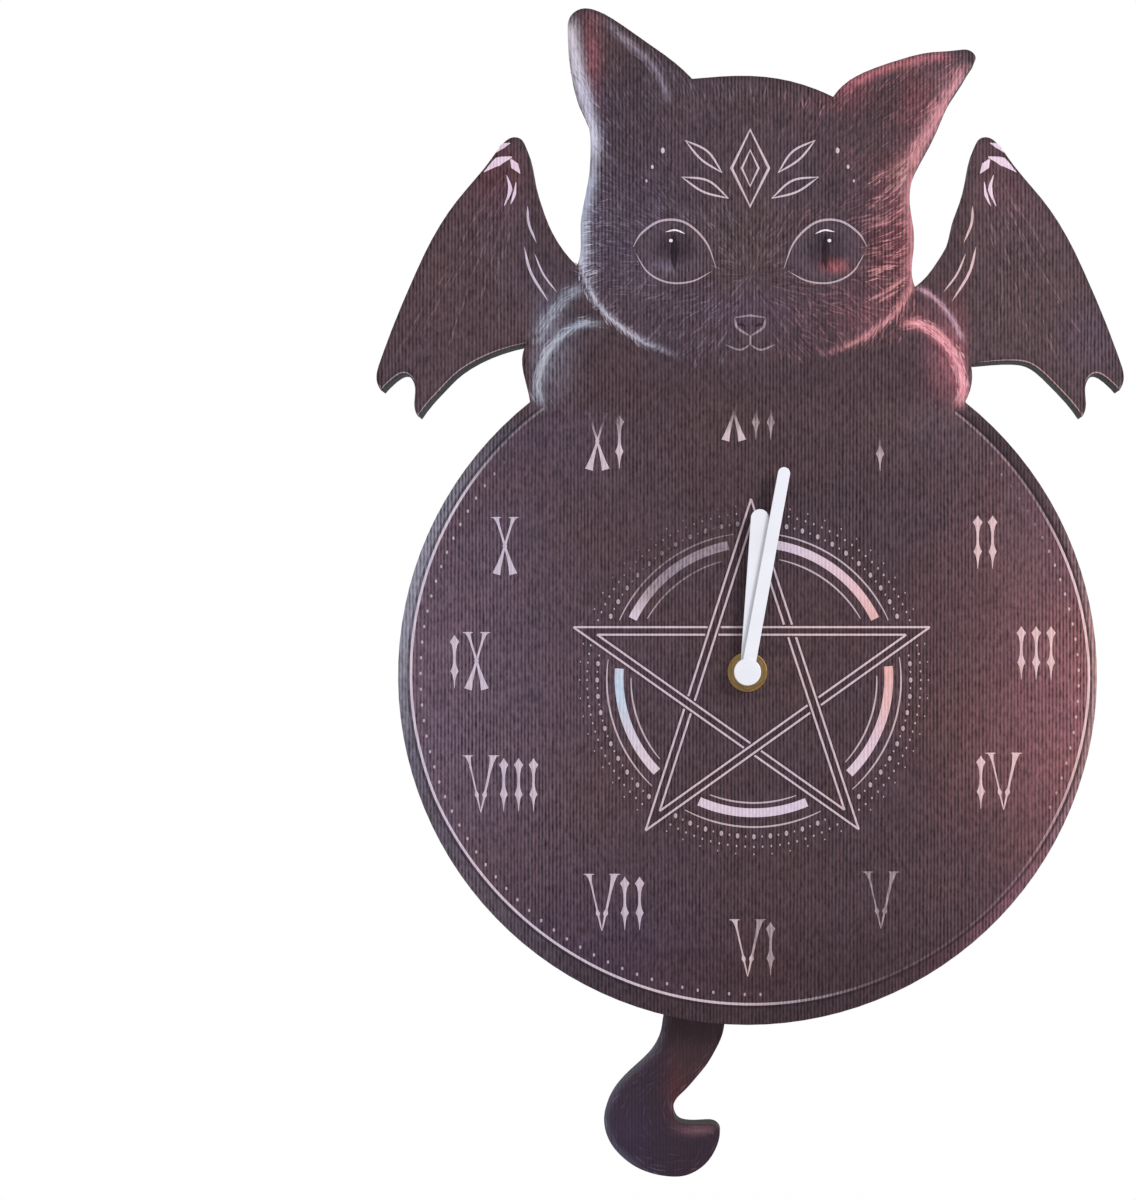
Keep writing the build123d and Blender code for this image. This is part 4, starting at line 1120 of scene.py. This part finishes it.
class CLOCK_OT_tail(bpy.types.Operator):
    """The swinging tail with its printed sheet and the brush strokes on it"""
    bl_idname = "clock.tail"
    bl_label = "Tail"

    def execute(self, context):
        settings = context.scene.clock_print
        soften([("tail_board", "cutout_tail", context.scene.clock_hardware.board_bevel, 2)])
        printed_sheet("tail_sheet", "printed_tail", TAIL_OUTLINE, settings)

        chance = np.random.default_rng(settings.fur_seed + 3)
        count = TAIL_STROKES
        places = scattered(chance, count, TAIL_EDGE, lambda u, v: np.ones(len(u), bool))
        depth, out_u, out_v, _ = to_line(*places.T, TAIL_EDGE, True)
        light = layered(flat(tone(140, 134, 160), count), [((150, 96, 100), smooth(places[:, 0], -34, -16))])
        light[::3] = tone(36, 30, 36)
        # the strokes show most near the edge, where they carry the painted highlight along it
        strength = (0.12 + 0.5 * bell(depth, 2.2)) * chance.uniform(0.3, 1.1, count)
        rows = [(places, np.arctan2(out_u, -out_v) + chance.normal(0, 0.16, count),
                 chance.uniform(3, 8, count), chance.uniform(0.3, 0.75, count), chance.normal(0, 0.2, count),
                 light, strength)]
        brush_strokes("tail_fur", rows, settings, "tail")
        return {"FINISHED"}


class CLOCK_OT_hands(bpy.types.Operator):
    """The two white hands with softened edges"""
    bl_idname = "clock.hands"
    bl_label = "Hands"

    def execute(self, context):
        bevel = context.scene.clock_hardware.hand_bevel
        soften([("hour_hand", "white_hour_hand", bevel, 3), ("minute_hand", "white_minute_hand", bevel, 3)])
        return {"FINISHED"}


DOTS_ROUND = 132


class CLOCK_OT_border(bpy.types.Operator):
    """The pale border line and its minute dots"""
    bl_idname = "clock.border"
    bl_label = "Border line and dots"

    def execute(self, context):
        settings = context.scene.clock_print

        def fade(u, v):
            angle = angle_from(BORDER_MIDDLE, u, v)
            return (0.9 - 0.85 * bell(angle + 54, 32, 4) - 0.7 * window(angle, (16, 30), (60, 90))
                    - 0.76 * window(angle, (118, 132), (139, 151)))

        def line(angles, within=0.0):
            return np.column_stack(around(BORDER_MIDDLE, border_reach(angles, settings) - within, angles))

        angles = np.linspace(129, 411, 180)
        drawn_lines("border_line", [(line(angles), 0.5)], settings, fade)
        drawn_lines("border_groove", [(line(angles, -1.0), 0.45)], settings, 0.55, 0.02, (46, 38, 46))
        minutes = np.arange(-222, 41, 360 / DOTS_ROUND)
        minutes = minutes[(minutes <= -86) | (minutes >= -28)]
        places = line(minutes, np.interp(minutes, *np.transpose(DOTS_INSIDE), period=360))
        drawn_lines("minute_dots", [dot(u, v, 0.75) for u, v in places], settings,
                    lambda u, v: 0.72 * fade(u, v))
        return {"FINISHED"}


class CLOCK_OT_numerals(bpy.types.Operator):
    """The twelve Roman numerals, the upper ones fading under the fur"""
    bl_idname = "clock.numerals"
    bl_label = "Numerals"

    def execute(self, context):
        settings = context.scene.clock_print

        def fade(u, v):
            hidden = np.where(u < -20, 0.95 * smooth(v, 78, 87) * smooth(-u, 40, 46), smooth(v, 82, 91))
            hidden = np.where(np.abs(u - 46) < 8, 0.25 + 0.75 * smooth(v, 73, 81), hidden)
            hidden = np.where(np.abs(u - 6) < 4.6, 0.45 + 0.55 * smooth(v, 84, 91), hidden)
            return (0.82 - 0.3 * window(u, (30, 42), (58, 66)) * (v < 0)) * (1 - hidden)

        strokes = [stroke for numeral in NUMERALS
                   for stroke in numeral_strokes(*numeral, settings.numeral_height / MM)]
        drawn_lines("numerals", strokes, settings, fade, 0.12)
        return {"FINISHED"}


class CLOCK_OT_star(bpy.types.Operator):
    """The interlaced star, the broken ring behind it and the dots round them"""
    bl_idname = "clock.star"
    bl_label = "Star and ring"

    def execute(self, context):
        settings = context.scene.clock_print
        thin, band, middle = (value / MM for value in (settings.line_radius, settings.star_band,
                                                       settings.ring_radius))
        lines, bars, dots = [], [], []
        for index in range(5):
            over = [star_line(index + 3, inset) for inset in (0, band)]
            for inset in (0, band):
                line = star_line(index, inset)
                first, last = (meeting(line, star_line(index + other, inset)) for other in (-1, 1))
                cuts = sorted(meeting(line, other) for other in over)
                lines += [(part_of(line, *ends), thin)
                          for ends in ((first, cuts[0] - PASSING_GAP), (cuts[1] + PASSING_GAP, last))]
            line = star_line(index, band / 2)
            ends = (meeting(line, star_line(index + other, band / 2)) for other in (-1, 1))
            bars.append((part_of(line, *ends), band / 2 + 1.2))
        drawn_lines("star", lines, settings, 0.86)
        drawn_lines("star_bars", bars, settings, 0.5, 0.01, (60, 47, 53))

        def fade(u, v):
            return 0.92 - 0.62 * window(angle_from(RING_MIDDLE, u, v), (86, 100), (136, 154))

        def tint(u, v):
            angle = angle_from(RING_MIDDLE, u, v) % 360
            return layered(flat(tone(222, 204, 218), len(u)), (
                ((232, 178, 170), bell((angle + 180) % 360 - 192, 36)),
                ((200, 214, 230), bell(angle - 184, 18))))

        thin_arcs = [(points, taper(len(points), thin * 0.85, 0.5, 0.5))
                     for radius, clear in ((middle - 4.4, 2.6), (middle + 3.9, 2.0))
                     for points in broken_arcs(radius, clear)]
        bands = [(points, 1.75) for points in broken_arcs(middle - 0.3, 2.4, 0.7)]
        drawn_lines("ring_lines", thin_arcs, settings, lambda u, v: 0.8 * fade(u, v))
        drawn_lines("ring_band", bands, settings, fade, 0.08, tint)
        for angle in np.arange(0, 360, 3):
            even = angle % 6 == 0
            for reach, size in ((7.2, 1.15 if even else 0.5), (10.7, 0.55), (13.3, 0.4 if even else 0)):
                u, v = around(RING_MIDDLE, middle + reach, angle)
                if size and off_star(u, v) > 1.6:
                    dots.append(dot(u, v, size))
        seats = [(points, [half * 1.7 for half in halves]) for points, halves in dots]
        drawn_lines("ring_dot_seats", seats, settings, 0.7, 0.02, (56, 43, 49))
        drawn_lines("ring_dots", dots, settings, lambda u, v: 0.68 * fade(u, v))
        return {"FINISHED"}


class CLOCK_OT_cat_face(bpy.types.Operator):
    """The drawn lines of the cat's face and the plain marks on its forehead"""
    bl_idname = "clock.cat_face"
    bl_label = "Cat's face"

    def execute(self, context):
        settings = context.scene.clock_print
        bright, lids, soft, dark, glints = [], [], [], [], []
        for side in (-1, 1):
            def at(*points, centre=(0.0, 0.0)):
                return [(MIDDLE + side * (centre[0] + a), centre[1] + b) for a, b in points]

            def eye(*points):
                return at(*points, centre=(EYE_OUT, EYE_UP))

            lids += [swelling(eye((-14.4, -6.0), (-10.8, 3.2), (-3.6, 9.8), (4.6, 10.4), (11.2, 6.2),
                                  (14.2, 1.4)), 26, 0.44),
                     swelling(eye((-12.8, -7.0), (-6.0, -10.4), (2.0, -10.8), (9.0, -7.4), (13.4, -0.6)),
                              26, 0.34)]
            glints += [swelling(eye((-3.6, 6.0), (-0.4, 7.2), (3.0, 6.6)), 9, 0.32),
                       (eye((0.6, 3.6), (1.2, 3.6), (1.8, 3.6)), [0.4, 0.7, 0.4])]
            dark += [(eye((0, 6.4), (0, 3.4), (0, 0), (0, -3.4), (0, -6.4)), [0.1, 0.95, 1.35, 0.95, 0.1]),
                     (at((1.6, 118.6), (3.0, 119.4), (4.6, 119.2)), [0.3, 0.7, 0.2])]
            soft += [swelling(at((5.4, 121.6), (4.4, 118.2), (0.6, 115.6)), 10, 0.5, 0.3, 0.6),
                     swelling(at((0, 112.4), (3.6, 110.6), (8.6, 112.4)), 12, 0.4)]
            for u, v, size in ((30.0, 179.0, 1.25), (33.6, 173.4, 0.9), (35.6, 168.6, 0.65)):
                bright.append(dot(MIDDLE + side * u, v, size))
            for foot, tip, width in (((7.4, 162.6), (23.6, 170.0), 2.6), ((9.6, 171.4), (22.4, 182.6), 2.2)):
                run = np.subtract(tip, foot)
                out = np.array((-run[1], run[0])) / np.hypot(*run) * width
                half = np.add(foot, tip) / 2
                bright += [swelling(at(foot, half + bulge, tip), 14, 0.4, 0.35, 0.2)
                           for bulge in (out, -out * 0.6)]
        soft += [([(MIDDLE - 5.2, 121.7), (MIDDLE, 122.4), (MIDDLE + 5.2, 121.7)], [0.2, 0.45, 0.2]),
                 ([(MIDDLE, 115.6), (MIDDLE, 112.4)], [0.4, 0.3])]
        for half_u, half_v, thick in ((6.4, 13.2, 0.55), (2.9, 6.2, 0.42)):
            bright.append(([(MIDDLE, MARKS_UP + half_v), (MIDDLE + half_u, MARKS_UP),
                            (MIDDLE, MARKS_UP - half_v), (MIDDLE - half_u, MARKS_UP)], thick, True))
        for name, lines, fade, flatness, shade in (
                ("forehead_marks", bright, 0.88, 0.4, None),
                ("eyelids", lids, 0.66, 0.5, None),
                ("nose_and_mouth", soft, 0.34, 0.5, None),
                ("pupils_and_nostrils", dark, 0.72, 0.1, (34, 27, 32)),
                ("eye_glints", glints, 1.0, 0.4, (238, 232, 236))):
            drawn_lines(name, lines, settings, fade, flatness, shade)
        return {"FINISHED"}


COOL, WARM, DARK = (210, 208, 220), (234, 162, 166), (44, 34, 38)
# strokes along lines: how many, line, spread, lengths, widths, colour, strength, lean
FUR_LINES = (
    (150, JAW[2:26], 0.7, (2.5, 5.5), (0.4, 0.9), COOL, 0.75, -0.35),
    (190, JAW[54:78], 1.1, (3.0, 7.0), (0.4, 1.0), WARM, 0.7, 0.35),
    (150, JAW[56:79], 2.4, (3.0, 8.0), (0.4, 1.0), (180, 112, 118), 0.6, 0.5),
    (110, JAW[54:79], 2.4, (3.0, 7.0), (0.4, 1.0), (70, 42, 48), 0.6, 0.5),
    (130, LEFT_RIM, 0.8, (4, 9), (0.4, 1.0), COOL, 0.7),
    (110, LEFT_RIM, 1.6, (4, 8), (0.3, 0.8), (96, 88, 98), 0.6, 0.1),
    (150, RIGHT_RIM, 1.2, (4, 8), (0.4, 1.0), WARM, 0.6, 0.1),
    (120, RIGHT_RIM, 2.2, (4, 8), (0.3, 0.8), (104, 60, 68), 0.7, 0.1),
    (46, [(49, 166.5), (53, 170.5), (57, 174.5)], 1.9, (4, 9), (0.6, 1.2), (234, 194, 192), 0.6),
    (30, [(47, 168), (51, 172), (55, 176)], 2.2, (4, 9), (0.4, 0.9), (112, 66, 74), 0.5),
    (90, [(-52, 222), (-47, 204), (-42, 186)], 3.2, (5, 12), (0.3, 0.7), (128, 104, 112), 0.5),
    (90, [(-50, 220), (-44, 204), (-38, 188)], 3.6, (5, 12), (0.4, 0.9), DARK, 0.6),
    (100, [(68, 207), (58, 196), (46, 186)], 3.2, (5, 11), (0.3, 0.8), (150, 88, 98), 0.5),
    (90, [(66, 208), (54, 199), (42, 190)], 3.0, (5, 11), (0.4, 0.9), DARK, 0.6),
    (120, [(50, 172), (52, 158), (52, 146), (49, 134)], 2.6, (5, 11), (0.5, 1.2), WARM, 0.5, 2.0),
    (110, [(50, 172), (51, 158), (51, 146), (47, 132)], 3.4, (4, 10), (0.4, 1.0), (92, 44, 54), 0.6, 2.0),
    (190, [(-54.0, 168), (-55.6, 160), (-56, 151), (-55, 140), (-52, 132)], 1.0, (2.5, 6.5), (0.5, 1.0),
     COOL, 0.95, 1.6),
    (190, [(-54, 176), (-56, 162), (-57, 151), (-55.6, 140), (-52, 131)], 1.7, (2, 6), (0.4, 0.9),
     (70, 62, 74), 0.7, 1.6),
    (120, [(-52, 170), (-52, 151), (-51, 140)], 1.8, (3, 6), (0.3, 0.7), (150, 146, 158), 0.6, 1.7),
    (50, LEFT_FOLD, 0.5, (3, 7), (0.3, 0.8), (150, 140, 154), 0.5),
    (60, RIGHT_FOLD, 0.6, (3, 7), (0.3, 0.8), (190, 112, 122), 0.5),
    (150, LEFT_FORELEG, 1.0, (4, 9), (0.4, 0.9), COOL, 0.6),
    (150, LEFT_FORELEG, 1.8, (4, 9), (0.4, 0.9), (78, 76, 88), 0.65),
    (260, RIGHT_FORELEG, 0.9, (3, 8), (0.5, 1.1), (248, 190, 194), 0.8),
    (170, RIGHT_FORELEG, 1.7, (4, 9), (0.4, 0.9), (128, 58, 66), 0.7),
    (80, LEFT_SHOULDER, 1.2, (3, 6), (0.4, 0.9), COOL, 0.45),
    (60, RIGHT_SHOULDER, 0.35, (3, 6), (0.3, 0.7), (214, 172, 190), 0.7),
)


FUR_SHADED = 0.42


class CLOCK_OT_fur(bpy.types.Operator):
    """Brush strokes of fur on the head, the cheeks, the ears' rims and the forelegs"""
    bl_idname = "clock.fur"
    bl_label = "Fur"

    def execute(self, context):
        settings = context.scene.clock_print
        chance = np.random.default_rng(settings.fur_seed)
        count = settings.fur_strokes

        def on_head(u, v):
            side = np.abs(u - MIDDLE)
            eyes = np.hypot((side - EYE_OUT) / 15.5, (v - EYE_UP) / 10.8) < 1
            marks = (side < 8) & (np.abs(v - MARKS_UP) < 15)
            marks |= (side < 26) & (side > 6) & (v > 160) & (v < 184)
            return ~eyes & ~(marks & (chance.random(len(u)) < 0.8)) & ~((side < 7) & (v < 124))

        places = scattered(chance, count, HEAD_EDGE, on_head)
        u, v = places.T
        depth, out_u, _, _ = to_line(u, v, BOARD_EDGE, True)
        outward = np.arctan2(v - 136, (u - MIDDLE) * 1.1)
        fall = np.arctan2(-1.0, (u - MIDDLE) / 40)
        cheek = smooth(150 - v, 0, 22) * smooth(np.abs(u - MIDDLE), 16, 40)
        direction = np.where(chance.random(count) < 0.55 * cheek, fall, outward)
        direction = direction + chance.normal(0, 0.2, count)
        left = smooth(-out_u, 0.1, 0.8) * bell(depth, 5.0) * (u < 0)
        right = smooth(out_u, 0.1, 0.8) * bell(depth, 13.0, 1.5) * (u > 0)
        strength = 0.27 + 0.7 * left + 0.55 * right + 0.1 * smooth(u, 20, 60)
        strength = strength * chance.uniform(0.2, 1.2, count)
        strength *= 1 - 0.65 * smooth(v, 150, 172) * (depth > 7)
        light = layered(flat(tone(160, 152, 172), count), [((204, 136, 144), smooth(u, -6, 30))])
        shaded = chance.random(count) < FUR_SHADED
        light[shaded] = tone(44, 35, 40)
        strength = np.where(shaded, chance.uniform(0.12, 0.5, count), strength)
        rows = [(places, direction, chance.uniform(4.0, 10.0, count), chance.uniform(0.4, 1.0, count),
                 chance.normal(0, 0.3, count), light, np.clip(strength, 0, 0.95))]
        for low, rise in ((129, 9), (137, 7), (145, 6), (153, 7), (161, 9), (168, 10)):
            for shift, shade, power in ((0, (226, 160, 162), 0.8), (3.4, (84, 36, 46), 0.75)):
                strand = [(42, low + shift), (49, low + shift + rise * 0.35), (56, low + shift + rise)]
                rows.append(along_line(chance, 16, bend(strand, 6), 1.2, (6, 13), (0.8, 1.8), shade, power))
        rows += [along_line(chance, *row) for row in FUR_LINES]
        brush_strokes("fur", rows, settings)
        return {"FINISHED"}


class CLOCK_OT_wings(bpy.types.Operator):
    """The wings' bones, their lit joints, the painted highlights along their lower edges and the faint folds
    of the skin
    """
    bl_idname = "clock.wings"
    bl_label = "Wings"

    def execute(self, context):
        settings = context.scene.clock_print
        chance = np.random.default_rng(settings.fur_seed + 2)
        bones, joints, rows = [], [], []
        for side in (-1, 1):
            def at(*points):
                return [(MIDDLE + side * a, b) for a, b in points]

            bones += [swelling(at(*points), 16, thick, 0.1, 0.1) for *points, thick in (
                ((76.4, 160), (76.0, 154), (73.4, 147.4), 0.46),
                ((77.6, 146), (75.2, 137), (69.4, 127.4), 0.5),
                ((74.0, 143.6), (71.0, 136.6), (66.4, 130.4), 0.36))]
            joints += [(bend(at(*points), 9), np.interp(np.linspace(0, 2, 9), (0, 1, 2), widths))
                       for *points, widths in (
                           ((91.4, 171.6), (86.6, 175.2), (81.8, 176.8), (0.1, 1.75, 0.3)),
                           ((87.2, 178.4), (84.8, 180.6), (82.4, 181.6), (0.1, 0.95, 0.15)),
                           ((82.2, 176.0), (80.8, 173.8), (79.0, 171.2), (0.3, 1.6, 0.15)),
                           ((83.6, 170.6), (82.4, 165.6), (84.4, 160.0), (0.15, 0.85, 0.12)),
                           ((80.4, 168.2), (81.0, 163.8), (82.6, 160.0), (0.12, 0.65, 0.12)))]
            for index, end in enumerate(((124, 104), (118, 108), (108, 100), (96, 108), (86, 116))):
                fold = bend(at((84 - index, 172 - 2 * index), (100 - 3.5 * index, 146 - 2 * index), end), 60)
                for row in ((30, fold, 0.4, (6, 14), (0.3, 0.6), (150, 126, 136), 0.5),
                            (20, fold, 1.6, (5, 13), (0.4, 0.8), (50, 40, 44), 0.5)):
                    rows.append(along_line(chance, *row, turn=0.05))
        drawn_lines("wing_bones", bones, settings, 0.85)
        # painted highlight along the wings' lower edges, also standing for the sheet's pale cut edge
        drawn_lines("wing_hems", wing_hems(), settings, 0.42, 0.05)
        drawn_lines("wing_joints", joints, settings, 0.9, 0.1, (236, 212, 228))
        brush_strokes("wing_folds", rows, settings)
        return {"FINISHED"}


BRASS_BEVEL = 0.0001


class CLOCK_OT_spindle_parts(bpy.types.Operator):
    """The brass nut and washer with softened edges, and the threaded bushing"""
    bl_idname = "clock.spindle_parts"
    bl_label = "Nut, washer and bushing"

    def execute(self, context):
        soften((("hex_nut", "brass_nut", BRASS_BEVEL * 2, 3),
                ("brass_washer", "round_washer", BRASS_BEVEL, 2),
                ("threaded_bushing", "clamp_bushing", BRASS_BEVEL, 2)))
        return {"FINISHED"}


class CLOCK_OT_movement(bpy.types.Operator):
    """The movement's case, cover and knob, the hanger and the tail's fittings, with softened edges"""
    bl_idname = "clock.movement"
    bl_label = "Movement and hanger"

    def execute(self, context):
        bevel = context.scene.clock_hardware.case_bevel
        soften((node, name, bevel / part, segments) for node, name, part, segments in (
            ("movement_case", "moulded_case", 1, 2), ("back_cover", "moulded_cover", 2, 2),
            ("setting_knob", "grooved_knob", 4, 2), ("hanger_plate", "steel_hanger", 2, 2),
            ("tail_strap", "steel_strap", 4, 2), ("tail_screws", "slotted_screws", 3, 2),
            ("pendulum_arm", "moulded_arm", 3, 2), ("battery", "sleeved_battery", 1, 3)))
        return {"FINISHED"}


def pale_floor_material():
    """A pale floor that keeps the shadows under the clock and melts into the white further off."""
    material, tree, position = start_material("pale floor")
    shader = tree.nodes["Principled BSDF"]
    cloud = noise(tree, position, 3.0, 2.0)
    feed_all(tree, shader, {"Base Color": blend_colour(tree, cloud, tone(244, 244, 244), tone(238, 238, 238)),
                            "Roughness": 0.8, "Specular IOR Level": 0.1})
    glow = tree.nodes.new("ShaderNodeEmission")
    blend_in = tree.nodes.new("ShaderNodeMixShader")
    far = scaled(tree, vector_calc(tree, "LENGTH", position).outputs["Value"], 1.4, -0.35, clamp=True)
    share = calc(tree, "MULTIPLY", seen_directly(tree), scaled(tree, far, 0.4, 0.6))
    for index, value in enumerate((share, shader.outputs[0], glow.outputs[0])):
        feed(tree, value, blend_in.inputs[index])
    feed(tree, blend_in.outputs[0], tree.nodes["Material Output"].inputs["Surface"])
    return material


IMAGE_WIDTH, IMAGE_HEIGHT = 1136, 1200
SPINDLE_IN_IMAGE = (747.5, 672)
SENSOR = 36
FLOOR_SIZE = 6
KEY_PLACE, KEY_SIZE = (0.75, -0.95, 0.55), 0.45


class CLOCK_OT_stage(bpy.types.Operator):
    """The pale floor, the soft light and the camera"""
    bl_idname = "clock.stage"
    bl_label = "Floor, light and camera"

    def execute(self, context):
        scene, settings = context.scene, context.scene.clock_stage
        deselect()
        bpy.ops.mesh.primitive_plane_add(size=FLOOR_SIZE, location=(0, 0, LOWEST - settings.floor_drop))
        floor = context.object
        floor.name = "floor"
        floor.data.materials.append(pale_floor_material())

        world = bpy.data.worlds.new("studio")
        scene.world = world
        world.use_nodes = True
        tree = world.node_tree
        strength = scaled(tree, seen_directly(tree), 1 - settings.world_light, settings.world_light)
        feed_all(tree, tree.nodes["Background"], {"Color": (1, 1, 1), "Strength": strength})

        bpy.ops.object.light_add(type="AREA", location=KEY_PLACE)
        key = context.object
        key.name = "key"
        key.data.shape = "DISK"
        key.data.size = KEY_SIZE
        key.data.energy = settings.key_power
        key.rotation_euler = (-key.location).to_track_quat("-Z", "Y").to_euler()

        bpy.ops.object.camera_add(location=(HUB_X, FACE_Y - settings.camera_distance, HUB_Z),
                                  rotation=(math.radians(90), 0, 0))
        camera = context.object
        camera.name = "camera"
        camera.data.sensor_width = SENSOR
        camera.data.lens = SENSOR * settings.camera_distance / settings.frame_height
        camera.data.shift_x = (IMAGE_WIDTH / 2 - SPINDLE_IN_IMAGE[0]) / IMAGE_HEIGHT
        camera.data.shift_y = (SPINDLE_IN_IMAGE[1] - IMAGE_HEIGHT / 2) / IMAGE_HEIGHT
        camera.data.dof.use_dof = False
        scene.camera = camera
        scene.view_settings.view_transform = "Standard"
        return {"FINISHED"}


OPERATORS = (CLOCK_OT_finishes, CLOCK_OT_board, CLOCK_OT_tail, CLOCK_OT_hands, CLOCK_OT_spindle_parts,
             CLOCK_OT_border, CLOCK_OT_numerals, CLOCK_OT_star, CLOCK_OT_cat_face, CLOCK_OT_fur,
             CLOCK_OT_wings, CLOCK_OT_movement, CLOCK_OT_stage)
SETTINGS = {"clock_print": ClockPrintSettings, "clock_hardware": ClockHardwareSettings,
            "clock_stage": ClockStageSettings}


class CLOCK_PT_panel(bpy.types.Panel):
    """The clock's pieces, in the order in which they are made"""
    bl_idname = "CLOCK_PT_panel"
    bl_label = "Cat wall clock"
    bl_space_type = "VIEW_3D"
    bl_region_type = "UI"
    bl_category = "Clock"

    def draw(self, context):
        for operator in OPERATORS:
            self.layout.operator(operator.bl_idname)
        for name in SETTINGS:
            group = getattr(context.scene, name)
            box = self.layout.box()
            for setting in group.__annotations__:
                box.prop(group, setting)


CLASSES = (*SETTINGS.values(), *OPERATORS, CLOCK_PT_panel)


def register():
    for cls in CLASSES:
        bpy.utils.register_class(cls)
    for name, cls in SETTINGS.items():
        setattr(bpy.types.Scene, name, PointerProperty(type=cls))


def unregister():
    for name in SETTINGS:
        delattr(bpy.types.Scene, name)
    for cls in reversed(CLASSES):
        bpy.utils.unregister_class(cls)


def main():
    """Make every piece in order."""
    register()
    for operator in OPERATORS:
        getattr(bpy.ops.clock, operator.bl_idname.split(".")[1])()


if __name__ == "__main__":
    main()
